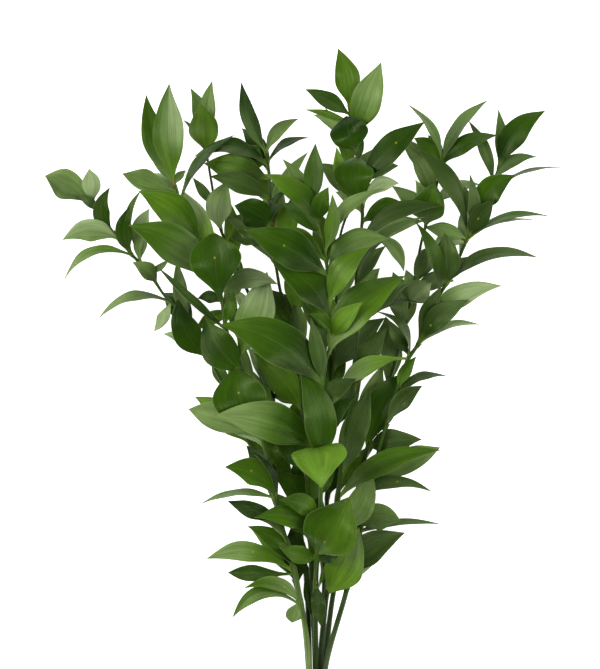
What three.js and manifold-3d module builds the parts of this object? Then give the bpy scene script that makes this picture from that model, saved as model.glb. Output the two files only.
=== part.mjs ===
// A bunch of leafy ruscus stems, lying on its back.
//
// Everything is in millimetres. The cut ends lie towards -Y and the tips towards +Y, and z = 0 is
// the surface that the bunch lies on. Each leafy stem is one solid: a tapering stem with its leaves
// grown into it. The stems lie over and beside each other, and every leaf is bent clear of the
// stems and leaves that were laid before it.

import * as THREE from 'three';
import { mergeVertices } from 'three/addons/utils/BufferGeometryUtils.js';
import Module from 'manifold-3d';

const wasm = await Module();
wasm.setup();

// Stems.
const FOOT_RADIUS = 2.65;
const TOP_RADIUS = 0.95;
const STEM_SIDES = 6;
const STEM_STEPS = 15;

// Leaves, in mm and in shares of a leaf's own length.
const BLADE_THICKNESS = 0.7;
const STALK_HALF_WIDTH = 1.0;
const STALK_THICKNESS = 1.4;
const STALK_SHARE = 0.08;
const STALK_ENDS = 0.15;
const ROOT_DEPTH = 0.75;
const ARCH_SHARE = 0.05;
const ROLLED_ARCH_SHARE = 0.1;
const BOW_SHARE = 0.12;
const USUAL_BELLY = 0.44;
const LEAST_FOLD = 0.1;
const FOLD_RANGE = 0.16;
const TWIST_RANGE_DEG = 36;

// Where a blade has rings of points, three above and three below, and their order round a ring.
const BROAD_FROM_WIDTH = 18;
const BROAD_STATIONS = [0.08, 0.24, 0.48, 0.76];
const SLIM_STATIONS = [0.1, 0.36, 0.7];
const RING = [0, 1, 2, 5, 4, 3];

// Room that a leaf keeps from what lies near it, and the changes of pose tried to get it.
const SPARE_ROOM = 0.35;
const LIFTS = [0, 5, -5, 10, -10, 15, -15, 21, -21, 28, -28, 36, -36, 45];
const TURNS = [0, 14, -14, 28, -28, 45, -45];
const ARCHINGS = [1, 0.3, 1.8];
const SHARES = [1, 0.9, 0.8, 0.65];

// Leaves that grow on the far side of a stem, by rule.
const BACK_LEAF_SPACING = 27;
const BACK_LEAF_LENGTH = 50;
const BACK_LEAF_LENGTH_RANGE = 20;
const BACK_LEAF_SLENDERNESS = 0.38;
const BACK_LEAF_DROP = 10;
const BACK_LEAF_ROLL_DEG = 20;
const BACK_LEAF_SPREAD_DEG = 22;
const BACK_LEAF_SPREAD_RANGE_DEG = 26;
const FIRST_SEED = 104729;

const LEAF_GREEN = 0x4a7a22;

// Each route is the middle line of a stem, as [x, y, z] from its cut end to its top.
// Each leaf is [height of its root on the stem, tip x, tip y, rise of the tip over the root,
// width, roll about its own length in degrees], then what isn't usual about it: the arch of its
// middle towards its face in mm, the bow of its middle to the right of the way it grows in mm, and
// the share of its length at which it is widest.
// Roll 0 faces straight up, and a positive roll turns the face to the right of the way it grows.
const STEMS = [
  {
    name: 'stem_front',
    route: [
      [12.1, -300, 14.1], [11.7, -235, 17], [11, -165, 30], [14, -110, 50], [15.5, -75, 64],
      [12, -33, 78], [15.5, -9, 83], [17, 15, 87], [20, 35, 90], [24, 52, 91], [22, 94, 92],
      [19, 128, 90], [15, 145, 88], [11.5, 158, 86], [8, 168, 84],
    ],
    leaves: [
      [166, 11, 218, 8, 17, 0],
      [165, -17, 205, -6, 12, 10, { bow: 2 }],
      [151, 22, 181, 12, 16, -10, { bow: -2 }],
      [149, -33, 192, 6, 20, 32],
      [140, -17, 168, -8, 18, 0, { bow: 2 }],
      [128, 70, 180, -4, 14, -35, { bow: -7 }],
      [127, 25, 175, 3, 13, 20, { bow: 3 }],
      [118, -31, 145, -8, 19, 10, { bow: 5 }],
      [106, -49, 145, 8, 32, 5, { bow: 4 }],
      [108, 74, 137, -2, 25, -20, { bow: -10 }],
      [82, 57, 130, 10, 24, -30],
      [70, -27, 119, -6, 33, 8],
      [54, 4, 74, 18, 12, 50],
      [52, 51, 84, 16, 17, 0],
      [40, 87, 106, 4, 32, -10, { bow: -9 }],
      [16, 7, 71, 12, 14, -10],
      [14, -70, 65, 10, 38, 10],
      [-9, 46, 19, -4, 17, -20],
      [-40, -74, -12, 16, 35, -5],
      [-42, 46, 5, -2, 19, -25],
      [-56, -3, 30, 10, 31, 24],
      [-40, 16, -73, 40, 48, 0, { arch: 14 }],
      [-131, 40, -81, 22, 49, 0, { arch: 12, bow: 0 }],
      [-100, -20, -84, 12, 18, 10, { bow: 5 }],
      [-112, -41, -99, 10, 19, 15],
      [-134, -20, -124, 18, 16, 10, { bow: -2 }],
      [-134, 34, -127, 20, 14, -10, { bow: 1 }],
      [-164, 14, -131, 10, 8, 65],
      [-156, 16, -193, 5, 13, 10],
    ],
  },
  {
    name: 'stem_left',
    route: [
      [6.3, -300, 14.1], [6, -235, 17], [3.8, -204, 23], [-1, -176, 30], [-6, -148, 38],
      [-13, -122, 45],
      [-20, -97, 52], [-25, -68, 58], [-31, -42, 62], [-37, -16, 66], [-46, 10, 69],
      [-53, 31, 70], [-62, 53, 70], [-66, 67, 70], [-69, 90, 69], [-76, 112, 67],
      [-92, 144, 62], [-107, 178, 58], [-111, 190, 56],
    ],
    leaves: [
      [186, -113, 270, 6, 27, 5, { bow: -3 }],
      [184, -133, 261, -10, 21, 5, { bow: -5 }],
      [184, -131, 229, -16, 13, 5, { bow: -2 }],
      [178, -153, 193, 6, 20, 15, { bow: -1, belly: 0.56 }],
      [184, -99, 196, -6, 7, 0],
      [170, -58, 226, -6, 14, -52, { arch: 9, bow: -1 }],
      [135, -139, 178, 10, 29, 5, { bow: 6 }],
      [116, -103, 180, -14, 20, 0, { bow: 4 }],
      [98, -147, 149, 12, 33, 10, { bow: 7, belly: 0.5 }],
      [80, -75, 143, 20, 47, 0, { arch: 14, bow: -2, belly: 0.7 }],
      [92, -21, 99, -6, 18, -10, { bow: -8 }],
      [60, -123, 114, 0, 8, 20, { bow: -3 }],
      [84, -89, 87, -6, 11, 0, { bow: 3 }],
      [66, -58, 93, -3, 13, 0],
      [36, -30, 110, -8, 32, -5, { bow: 3 }],
      [24, -82, 70, -6, 32, 5, { bow: -4 }],
      [-24, -56, 29, 8, 47, 0, { arch: 14, bow: -7, belly: 0.56 }],
      [-34, -97, -7, -8, 26, -5, { bow: 5, belly: 0.6 }],
      [-40, -82, -16, -14, 14, 10],
      [-78, -48, -38, -14, 20, 0],
      [-84, -44, -42, 14, 9, 50],
      [-85, -66, -56, 8, 23, -5, { bow: 11, belly: 0.55 }],
      [-83, -87, -88, -6, 12, 60, { arch: 5, bow: 3, belly: 0.38 }],
      [-100, -64, -85, -6, 15, 5, { bow: -1 }],
      [-124, -42, -100, 6, 10, 50],
      [-143, -47, -107, 4, 20, 15],
      [-147, -82, -135, -4, 18, 5, { bow: 12, belly: 0.55 }],
      [-148, -64, -147, -12, 15, 0, { bow: 0, belly: 0.62 }],
      [-174, -50, -160, 8, 13, 0, { bow: 13 }],
      [-175, -60, -186, -6, 13, 5, { bow: 17, belly: 0.58 }],
      [-170, -9, -190, -6, 15, 0, { bow: 1, belly: 0.62 }],
    ],
  },
  {
    name: 'stem_crown',
    route: [
      [12.1, -300, 8.4], [14.4, -235, 11], [20.5, -165, 26], [27, -105, 38], [33, -57, 47],
      [36, -33, 51], [43, 11, 57], [46, 52, 61], [46, 109, 63], [50, 145, 62], [51, 162, 60],
      [48, 200, 57], [42, 232, 55], [40, 250, 54],
    ],
    leaves: [
      [248, 30, 300, 0, 22, 0, { bow: 3 }],
      [224, 67, 288, 6, 27, -5, { bow: 0 }],
      [243, 2, 265, 2, 15, 10, { bow: 1 }],
      [236, 2, 248, -6, 7, 20, { bow: 0 }],
      [212, 37, 242, -6, 34, 0, { arch: 14, bow: -2, belly: 0.55 }],
      [165, 29, 216, -10, 17, 0, { bow: -4 }],
      [167, 46, 208, -6, 35, 0, { arch: 14, bow: -4, belly: 0.55 }],
      [186, 104, 237, 6, 23, -10, { bow: -3 }],
      [180, 82, 200, -8, 12, 0, { bow: -6, belly: 0.58 }],
      [165, 82, 185, -6, 14, 0, { bow: -9, belly: 0.6 }],
      [152, 95, 160, 4, 22, -10],
      [135, 119, 165, 4, 17, -25],
      [140, 86, 110, -6, 12, 0, { bow: -11, belly: 0.6 }],
      [105, 104, 156, 14, 11, -40, { bow: -6 }],
      [97, 71, 132, -2, 13, -10],
      [84, 66, 113, -6, 16, 0],
      [58, 101, 83, -4, 11, -50],
      [62, 93, 101, 0, 22, -5],
      [8, 73, 64, -4, 20, 0],
      [-62, 58, 14, 4, 24, -10, { bow: 1, belly: 0.4 }],
      [-84, 118, -42, 8, 19, -10, { bow: -11 }],
      [-112, 58, -58, 6, 25, 0, { bow: 8 }],
      [-165, 51, -101, 30, 37, 0, { bow: 4, belly: 0.38 }],
    ],
  },
  {
    name: 'stem_far_right',
    route: [
      [17.9, -300, 14.1], [18.6, -235, 15.4], [37.5, -163, 26], [52, -100, 36], [66, -39, 43],
      [78, 0, 47], [89, 34, 49], [99, 49, 50], [104, 61, 50], [110, 80, 50], [122, 99, 49],
      [137, 130, 47], [141, 140, 46], [152, 160, 44], [162, 185, 42], [168, 200, 41],
    ],
    leaves: [
      [198, 207, 247, 8, 22, -5, { bow: -8 }],
      [198, 167, 249, -6, 11, 20, { bow: 2 }],
      [190, 200, 208, 2, 12, -20, { bow: -5, belly: 0.36 }],
      [186, 141, 239, 6, 11, 10, { bow: 3 }],
      [176, 221, 199, -4, 10, -72, { arch: 4, bow: -3 }],
      [156, 181, 192, 12, 23, 0, { bow: -8 }],
      [150, 137, 184, -6, 9, 0],
      [145, 142, 193, 8, 11, 15, { bow: 2 }],
      [141, 163, 172, 6, 18, -10],
      [138, 98, 213, 12, 18, 25, { arch: 8, bow: 7, belly: 0.56 }],
      [136, 211, 157, 0, 13, -62, { arch: 12, bow: 1 }],
      [140, 199, 154, -10, 7, -65, { arch: 8, bow: 2 }],
      [138, 104, 148, -4, 15, 10, { bow: 1 }],
      [134, 110, 130, -8, 16, 20],
      [99, 200, 122, 6, 18, -50, { arch: 15, bow: -2 }],
      [62, 170, 98, 0, 20, -10, { bow: -9 }],
      [90, 96, 152, 14, 15, 35],
      [99, 121, 143, 6, 25, 0, { bow: 2 }],
      [99, 142, 123, -4, 12, -10],
      [48, 118, 97, 4, 17, 0, { bow: -3, belly: 0.55 }],
      [51, 142, 86, 10, 19, -5, { bow: -5 }],
      [47, 151, 65, -6, 11, -50, { arch: 6, bow: -3 }],
      [38, 72, 70, 0, 12, 0, { bow: 0 }],
      [37, 63, 76, 4, 12, 55, { arch: 9 }],
      [36, 32, 13, 12, 17, 10, { bow: 6, belly: 0.62 }],
      [4, 123, 21, -2, 12, -50, { arch: 6, bow: -3 }],
      [10, 97, 38, 2, 11, 0],
      [-22, 102, 13, 8, 16, -12, { bow: -5, belly: 0.55 }],
    ],
  },
  {
    name: 'stem_right',
    route: [
      [17.9, -300, 8.4], [19.4, -235, 9.4], [26.5, -165, 18], [42, -100, 27], [56, -39, 34],
      [75, 20, 40], [87, 60, 43], [92, 85, 44], [96, 103, 45], [101, 134, 46], [111, 170, 46],
      [119, 204, 45],
    ],
    leaves: [
      [203, 90, 252, 4, 12, 50, { arch: 8, bow: 0 }],
      [203, 158, 256, 8, 15, -42, { arch: 7, bow: -2 }],
      [200, 166, 226, 6, 17, -42, { arch: 8, bow: -3 }],
      [198, 151, 218, -6, 9, -30],
      [200, 95, 224, 4, 18, 15],
      [203, 107, 227, -8, 10, 0],
      [168, 90, 215, -6, 16, 0, { bow: 5 }],
      [155, 96, 188, 6, 14, 20],
      [150, 112, 187, 16, 29, 0, { arch: 6 }],
      [150, 76, 183, -4, 16, 10],
      [103, 107, 132, -2, 12, 20],
      [90, 88, 112, -4, 11, 0],
      [60, 77, 110, -6, 26, 0, { bow: 2 }],
      [28, 71, 72, -6, 24, 0, { bow: 0 }],
      [98, 120, 132, -44, 18, 0],
      [82, 110, 101, 6, 23, -10],
      [-39, 102, -33, 4, 22, -10, { bow: -2, belly: 0.35 }],
      [-42, 93, 26, 6, 28, 5, { bow: -9 }],
      [-34, 69, 31, -4, 22, 0, { bow: -4 }],
      [-75, 118, -40, -6, 22, -5, { bow: -2, belly: 0.6 }],
      [-82, 111, -78, 4, 12, -20, { bow: -9, belly: 0.38 }],
      [-112, 84, -103, 6, 24, -5, { bow: -8, belly: 0.6 }],
      [-117, 119, -106, -4, 8, -40, { arch: 3, bow: -5 }],
      [-150, 88, -113, 4, 28, -5, { bow: -5 }],
    ],
  },
  {
    name: 'stem_middle',
    route: [
      [12.1, -300, 2.7], [11.4, -235, 4.6], [8, -150, 19], [4, -60, 32], [-1, 20, 42],
      [-6, 69, 47], [-15, 86, 49], [-19, 94, 50], [-27, 150, 52], [-28, 172, 52],
      [-28, 190, 51], [-31, 213, 50],
    ],
    leaves: [
      [211, -52, 272, 0, 14, 0, { bow: -4 }],
      [210, -54, 248, -8, 9, 40, { arch: 1, bow: 0 }],
      [211, -3, 240, 4, 12, -15, { bow: -5 }],
      [203, 5, 224, 0, 11, -50, { arch: 6, bow: -1 }],
      [203, -56, 217, -6, 25, 0, { bow: -4 }],
      [200, -92, 208, -4, 19, 42, { arch: 12, bow: 4 }],
      [188, -84, 202, -8, 26, 0, { bow: 3 }],
      [172, -79, 191, -4, 18, 0, { bow: 4 }],
      [158, 5, 212, -6, 12, 0],
      [150, -13, 180, 8, 11, -45],
      [148, -58, 166, 4, 28, 0, { bow: 4 }],
      [141, -61, 157, -8, 10, 0],
      [124, -61, 138, -16, 17, 0, { bow: 8, belly: 0.62 }],
      [124, -8, 175, -8, 20, 0, { bow: 2 }],
      [60, -28, 95, -6, 18, 0],
      [40, -6, 88, 4, 15, 10],
      [-190, 4, -140, 0, 12, 0, { bow: 0 }],
    ],
  },
  {
    name: 'stem_far_left',
    route: [
      [6.3, -300, 8.4], [5.4, -235, 9.6], [0, -180, 13], [-11, -135, 18], [-26, -76, 26],
      [-45, -35, 31], [-63, 5, 35], [-78, 33, 38], [-93, 58, 38], [-108, 80, 36],
      [-118, 90, 35], [-130, 108, 34], [-146, 125, 33], [-157, 138, 32], [-166, 150, 31],
      [-182, 169, 30],
    ],
    leaves: [
      [166, -220, 192, 4, 27, 0, { bow: 4, belly: 0.58 }],
      [166, -182, 198, 6, 17, 0, { bow: 0, belly: 0.58 }],
      [162, -192, 176, 10, 9, 0],
      [142, -164, 182, 10, 15, 0, { bow: -10 }],
      [138, -205, 137, 6, 20, 5, { bow: 9 }],
      [125, -147, 166, 10, 15, 0, { bow: -6 }],
      [125, -137, 181, -8, 7, 20, { bow: -10 }],
      [116, -131, 164, -8, 15, 0, { bow: -6, belly: 0.6 }],
      [124, -204, 102, 2, 14, 52, { arch: 13, bow: 4 }],
      [84, -174, 70, 0, 14, 52, { arch: 13, bow: 2 }],
      [100, -145, 118, 8, 15, 15],
      [110, -114, 121, 4, 6, 0, { bow: 2 }],
      [64, -107, 121, -8, 13, 0, { bow: -2 }],
      [84, -127, 59, -8, 11, 20, { bow: -2 }],
      [60, -117, 90, -6, 14, 0],
      [36, -119, 57, -8, 16, 10],
      [60, -120, 92, -37, 20, 0],
      [-160, -8, -104, 0, 22, 0, { bow: 0 }],
      [37, -106, 88, 14, 25, 0, { bow: -7 }],
    ],
  },
  {
    name: 'stem_back_left',
    route: [
      [6.3, -300, 2.7], [6, -235, 3.4], [3, -150, 7], [-8, -76, 12], [-25, 0, 18],
      [-42, 80, 24], [-59, 120, 26.5], [-71, 150, 28], [-78, 188, 29],
      [-83, 218, 28],
    ],
    leaves: [
      [216, -77, 274, -4, 16, -5, { bow: -2 }],
      [214, -96, 268, -8, 16, 10, { bow: 3 }],
      [212, -88, 254, 12, 26, 0],
      [210, -102, 240, 0, 9, 40],
      [165, -94, 191, -4, 9, 0, { bow: 0 }],
      [146, -63, 188, 12, 23, 0, { bow: -5 }],
      [98, -76, 134, -29, 13, 0],
      [134, -56, 157, -2, 8, 0],
      [58, -62, 98, 2, 12, 0],
      [4, -40, 49, 8, 13, 0],
    ],
  },
  {
    name: 'stem_back',
    route: [
      [17.9, -300, 2.7], [17.9, -235, 3.4], [19, -150, 9], [22, -60, 16], [26, 30, 22],
      [29, 95, 25], [32, 139, 26], [38, 160, 26], [44, 185, 25],
    ],
    leaves: [
      [183, 19, 251, -2, 13, 20],
      [180, 60, 215, 0, 14, -10],
      [172, 13, 203, 4, 18, 15],
      [158, 64, 186, 0, 14, -20],
      [96, 50, 140, -24, 18, 0],
    ],
  },
];

// Where the stems carry leaves on their far side: [stem, lowest root, highest root].
const BACK_LEAVES = [
  ['stem_middle', -146, 75],
  ['stem_back_left', -97, 40],
  ['stem_back', -137, 60],
  ['stem_far_left', -66, 14],
];

const UP = new THREE.Vector3(0, 0, 1);

// Numbers between 0 and 1, the same ones in each run.
function drawsFrom(seed) {
  let state = seed;
  return () => {
    state = (state * 48271) % 2147483647;
    return state / 2147483647;
  };
}

// The middle line of a stem at height y, as a smooth curve through the points of its route.
function stemPoint(route, y) {
  const last = route.length - 1;
  let k = 0;
  while (k < last - 1 && y > route[k + 1][1]) k += 1;
  const step = route[k + 1][1] - route[k][1];
  const s = (y - route[k][1]) / step;
  const along = [0, 2].map((axis) => {
    const slope = (n) => {
      const before = route[Math.max(n - 1, 0)];
      const after = route[Math.min(n + 1, last)];
      return (after[axis] - before[axis]) / (after[1] - before[1]);
    };
    return (2 * s ** 3 - 3 * s ** 2 + 1) * route[k][axis]
      + (s ** 3 - 2 * s ** 2 + s) * step * slope(k)
      + (3 * s ** 2 - 2 * s ** 3) * route[k + 1][axis]
      + (s ** 3 - s ** 2) * step * slope(k + 1);
  });
  return new THREE.Vector3(along[0], y, along[1]);
}

// The stem's radius at height y.
function stemRadius(route, y) {
  const foot = route[0][1];
  return THREE.MathUtils.mapLinear(y, foot, route[route.length - 1][1], FOOT_RADIUS, TOP_RADIUS);
}

function stemHeading(route, y) {
  const ahead = stemPoint(route, y + 0.5);
  return ahead.sub(stemPoint(route, y - 0.5)).normalize();
}

// A tapering stem: a cylinder whose rings are carried along the route.
function stemGeometry(route) {
  const foot = route[0][1];
  const top = route[route.length - 1][1];
  const flatBelow = Math.PI / STEM_SIDES;
  const geometry = new THREE.CylinderGeometry(1, 1, 1, STEM_SIDES, STEM_STEPS, false, flatBelow);
  const position = geometry.attributes.position;
  for (let n = 0; n < position.count; n += 1) {
    const share = position.getY(n) + 0.5;
    const y = THREE.MathUtils.lerp(foot, top, share);
    const radius = stemRadius(route, y);
    const heading = stemHeading(route, y);
    const side = new THREE.Vector3().crossVectors(heading, UP).normalize();
    const upward = new THREE.Vector3().crossVectors(side, heading);
    const point = stemPoint(route, y)
      .addScaledVector(side, position.getX(n) * radius)
      .addScaledVector(upward, position.getZ(n) * radius);
    position.setXYZ(n, point.x, point.y, point.z);
  }
  geometry.deleteAttribute('normal');
  geometry.deleteAttribute('uv');
  return mergeVertices(geometry);
}

// Half the width of a blade at a share u of its length, as a share of its widest, at the belly.
function outline(u, belly) {
  const x = Math.max(u - STALK_SHARE, 0) / (1 - STALK_SHARE);
  return Math.sin(Math.PI * x ** (Math.log(0.5) / Math.log(belly))) * (1 - 0.3 * x ** 6);
}

// A leaf as it lies: its root, its chord to the tip, and the way that its face looks.
function layLeaf(route, row, habit, change) {
  const [rootHeight, tipX, tipY, rise, width, roll, { arch, bow, belly = USUAL_BELLY } = {}] = row;
  const root = stemPoint(route, rootHeight);
  const tip = new THREE.Vector3(tipX, tipY, root.z + rise + change.lift);
  const chord = tip.sub(root).multiplyScalar(change.share);
  const level = new THREE.Vector3().crossVectors(chord, UP).normalize();
  const upward = new THREE.Vector3().crossVectors(level, chord).normalize();
  const angle = THREE.MathUtils.degToRad(roll + change.turn);
  const face = upward.multiplyScalar(Math.cos(angle)).addScaledVector(level, Math.sin(angle));
  const across = new THREE.Vector3().crossVectors(chord, face).normalize();
  const length = chord.length();
  const usualArch = length * (ARCH_SHARE + ROLLED_ARCH_SHARE * Math.abs(Math.sin(angle)));
  const usualBow = length * BOW_SHARE * level.y;
  return {
    root,
    chord,
    face,
    across,
    bend: face.clone().multiplyScalar((arch ?? usualArch) * change.arching * 4)
      .addScaledVector(level, (bow ?? usualBow) * 4),
    belly,
    stemRadius: stemRadius(route, rootHeight),
    width: width * change.share,
    fold: habit.fold,
    twist: habit.twist,
  };
}

// The leaf's middle surface: u runs from root to tip, v from the left edge (-1) to the right (1).
function leafPoint(leaf, u, v, halfWidth, rise) {
  const middle = leaf.root.clone().addScaledVector(leaf.chord, u)
    .addScaledVector(leaf.bend, u * (1 - u));
  const heading = leaf.chord.clone().addScaledVector(leaf.bend, 1 - 2 * u).normalize();
  const lean = new THREE.Vector3().crossVectors(leaf.across, heading).normalize();
  const twist = leaf.twist * (u - 0.5);
  const level = new THREE.Vector3().crossVectors(heading, lean);
  const side = level.clone().multiplyScalar(Math.cos(twist))
    .addScaledVector(lean, Math.sin(twist));
  const normal = lean.multiplyScalar(Math.cos(twist))
    .addScaledVector(level, -Math.sin(twist));
  return middle.addScaledVector(side, halfWidth * v)
    .addScaledVector(normal, halfWidth * leaf.fold * Math.abs(v) + rise);
}

// A leaf as a closed solid of rings, three points above and three below, that ends in one point.
// A whole leaf starts in a point sunk in its stem, and its outer part with a flat end.
function leafSolid(leaf, spare, part) {
  const whole = part === 'whole';
  const rings = (leaf.width < BROAD_FROM_WIDTH ? SLIM_STATIONS : BROAD_STATIONS).slice(whole ? 0 : 1);
  const points = [];
  rings.forEach((u) => {
    const halfWidth = Math.max(leaf.width / 2 * outline(u, leaf.belly), STALK_HALF_WIDTH) + spare;
    const halfThickness = (u < STALK_ENDS ? STALK_THICKNESS : BLADE_THICKNESS) / 2 + spare;
    [halfThickness, -halfThickness].forEach((rise) => {
      [-1, 0, 1].forEach((v) => points.push(leafPoint(leaf, u, v, halfWidth, rise)));
    });
  });
  const length = leaf.chord.length();
  const tip = points.push(leafPoint(leaf, 1 + spare / length, 0, 0, 0)) - 1;

  const faces = [];
  rings.forEach((u, number) => {
    const isLast = number === rings.length - 1;
    for (let k = 0; k < RING.length; k += 1) {
      const a = number * RING.length + RING[k];
      const b = number * RING.length + RING[(k + 1) % RING.length];
      if (isLast) {
        faces.push([a, b, tip]);
      } else if (k < 3) {
        faces.push([a, b, b + 6], [a, b + 6, a + 6]);
      } else {
        faces.push([a, b, a + 6], [b, b + 6, a + 6]);
      }
    }
  });
  if (whole) {
    const root = points.push(leafPoint(leaf, -ROOT_DEPTH * leaf.stemRadius / length, 0, 0, 0)) - 1;
    RING.forEach((a, k) => faces.push([a, root, RING[(k + 1) % RING.length]]));
  } else {
    faces.push([0, 3, 1], [3, 4, 1], [1, 4, 2], [4, 5, 2]);
  }
  return toSolid(points.flatMap((point) => point.toArray()), faces.flat());
}

function toSolid(coordinates, corners) {
  const mesh = new wasm.Mesh({
    numProp: 3,
    vertProperties: Float32Array.from(coordinates),
    triVerts: Uint32Array.from(corners),
  });
  return new wasm.Manifold(mesh);
}

function toGeometry(solid) {
  const { vertProperties, triVerts } = solid.getMesh();
  const geometry = new THREE.BufferGeometry();
  geometry.setAttribute('position', new THREE.BufferAttribute(vertProperties, 3));
  geometry.setIndex(new THREE.BufferAttribute(triVerts, 1));
  return geometry;
}

// The outer skin alone, so that no hollow stays sealed where leaves are joined near their roots.
function withoutHollows(solid) {
  const skins = solid.decompose();
  return skins.reduce((largest, skin) => (skin.volume() > largest.volume() ? skin : largest));
}

// The small changes of pose that a leaf may take to lie clear, from none to the largest.
function listChanges() {
  const changes = [];
  LIFTS.forEach((lift) => {
    TURNS.forEach((turn) => {
      ARCHINGS.forEach((arching) => {
        SHARES.forEach((share) => {
          const cost = Math.abs(lift) / LIFTS[1] + Math.abs(turn) / TURNS[1]
            + (arching === 1 ? 0 : 2) + (1 - share) * 20;
          changes.push({ lift, turn, arching, share, cost });
        });
      });
    });
  });
  return changes.sort((one, other) => one.cost - other.cost);
}

function boxOf(solid) {
  const { min, max } = solid.boundingBox();
  return new THREE.Box3(new THREE.Vector3(...min), new THREE.Vector3(...max));
}

function isClear(guard, obstacles) {
  const box = boxOf(guard);
  return box.min.z >= 0 && obstacles.every((obstacle) => {
    if (!box.intersectsBox(obstacle.box)) return true;
    const overlap = guard.intersect(obstacle.solid);
    const clear = overlap.isEmpty();
    overlap.delete();
    return clear;
  });
}

// The first pose in which the leaf touches no other stem, and no leaf beyond its own stalk.
function placeLeaf(stem, row, habit) {
  for (const change of CHANGES) {
    const leaf = layLeaf(stem.route, row, habit, change);
    const whole = leafSolid(leaf, SPARE_ROOM, 'whole');
    const others = laid.filter((item) => item.stem !== stem);
    let clear = isClear(whole, others);
    if (clear) {
      const outer = leafSolid(leaf, SPARE_ROOM, 'outer');
      clear = isClear(outer, laid.filter((item) => item.stem === stem && item.isLeaf));
      outer.delete();
    }
    whole.delete();
    if (clear) {
      const solid = leafSolid(leaf, 0, 'whole');
      laid.push({ stem, solid, box: boxOf(solid), isLeaf: true });
      return;
    }
  }
}

// A row like those above for a leaf on the far side, to the right (hand 1) or left (hand -1).
function backLeafRow(stem, height, hand, draw) {
  const heading = stemHeading(stem.route, height);
  const from = stemPoint(stem.route, height);
  const length = BACK_LEAF_LENGTH + BACK_LEAF_LENGTH_RANGE * draw();
  const spread = hand * (BACK_LEAF_SPREAD_DEG + BACK_LEAF_SPREAD_RANGE_DEG * draw());
  const bearing = Math.atan2(heading.x, heading.y) + THREE.MathUtils.degToRad(spread);
  return [
    height,
    from.x + length * Math.sin(bearing),
    height + length * Math.cos(bearing),
    -BACK_LEAF_DROP * draw(),
    length * BACK_LEAF_SLENDERNESS,
    hand * BACK_LEAF_ROLL_DEG * draw(),
  ];
}

const CHANGES = listChanges();
const laid = [];
const stems = STEMS.map((stem, k) => ({ ...stem, draw: drawsFrom(FIRST_SEED * (k + 1)) }));
stems.forEach((stem) => {
  const geometry = stemGeometry(stem.route);
  const solid = toSolid(geometry.attributes.position.array, geometry.index.array);
  laid.push({ stem, solid, box: boxOf(solid), isLeaf: false });
});
const habitFrom = (draw) => ({
  fold: LEAST_FOLD + FOLD_RANGE * draw(),
  twist: THREE.MathUtils.degToRad(TWIST_RANGE_DEG) * (draw() - 0.5),
});
stems.forEach((stem) => {
  stem.leaves.forEach((row) => placeLeaf(stem, row, habitFrom(stem.draw)));
});
BACK_LEAVES.forEach(([name, lowest, highest]) => {
  const stem = stems.find((one) => one.name === name);
  let hand = 1;
  for (let height = lowest; height <= highest; height += BACK_LEAF_SPACING) {
    const row = backLeafRow(stem, height, hand, stem.draw);
    placeLeaf(stem, row, habitFrom(stem.draw));
    hand = -hand;
  }
});

const bunch = new THREE.Group();
stems.forEach((stem) => {
  const parts = laid.filter((item) => item.stem === stem).map((item) => item.solid);
  const solid = withoutHollows(parts.reduce((whole, part) => whole.add(part)));
  const green = new THREE.MeshStandardMaterial({ color: LEAF_GREEN, roughness: 0.45, metalness: 0 });
  const mesh = new THREE.Mesh(toGeometry(solid), green);
  mesh.name = stem.name;
  bunch.add(mesh);
});

export default bunch;
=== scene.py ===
# %% [markdown]
# # A bunch of leafy ruscus stems
#
# Ruscus is cut for its foliage: slender ribbed stems with pointed, leathery leaves that turn to
# the light on both sides. Nine of these stems lie here as one gathered bunch, cut ends together.
#
# The bunch comes from a fixed model in which each leafy stem is one plain faceted solid. That
# model settles where everything lies. This script gives each leafy stem finer leaves and a finer
# stem on the same surfaces, a few small leaves more in the depth of the bunch, and then their
# colours, veins and gloss.

# %% The fixed model
import math

import bmesh
import bpy
from mathutils import Matrix, Vector, kdtree


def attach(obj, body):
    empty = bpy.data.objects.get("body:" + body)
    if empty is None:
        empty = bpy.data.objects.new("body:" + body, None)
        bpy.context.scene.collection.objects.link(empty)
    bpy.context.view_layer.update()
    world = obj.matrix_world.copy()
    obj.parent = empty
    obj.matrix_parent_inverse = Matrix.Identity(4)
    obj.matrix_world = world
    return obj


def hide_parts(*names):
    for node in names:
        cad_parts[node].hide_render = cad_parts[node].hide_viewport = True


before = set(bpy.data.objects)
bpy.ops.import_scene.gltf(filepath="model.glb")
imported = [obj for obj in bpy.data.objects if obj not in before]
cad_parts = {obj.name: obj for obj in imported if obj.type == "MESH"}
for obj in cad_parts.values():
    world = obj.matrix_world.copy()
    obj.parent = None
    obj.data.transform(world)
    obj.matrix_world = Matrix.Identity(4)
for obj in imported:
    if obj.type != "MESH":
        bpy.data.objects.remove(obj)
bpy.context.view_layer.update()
print("The fixed model's leafy stems:", ", ".join(sorted(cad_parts)))

# %% [markdown]
# ## Looking down on the bunch
#
# The bunch lies on its back, so the camera hangs straight above it and looks down. A long lens
# from five metres away keeps the near leaves from looking larger than the far ones. A short lens
# close by would spread the top leaves outwards. Lengths look true at one level only, which is set
# halfway up the bunch.
#
# All the sizes in this script are in millimetres, as a grower would give them, unless a comment
# says otherwise. Blender counts in metres, so they are scaled by MM where they enter a mesh or a
# place.

# %% Camera
MM = 0.001
VIEW_CENTRE = (-2.1, 56.5)
VIEW_HEIGHT = 568.65
CAMERA_LEVEL = 5000.0
TRUE_SIZE_LEVEL = 55.0
SIGHT_METRES = 100.0


def place_object(name, data):
    """A new object in the scene, at the origin."""
    item = bpy.data.objects.new(name, data)
    bpy.context.scene.collection.objects.link(item)
    return item


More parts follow.
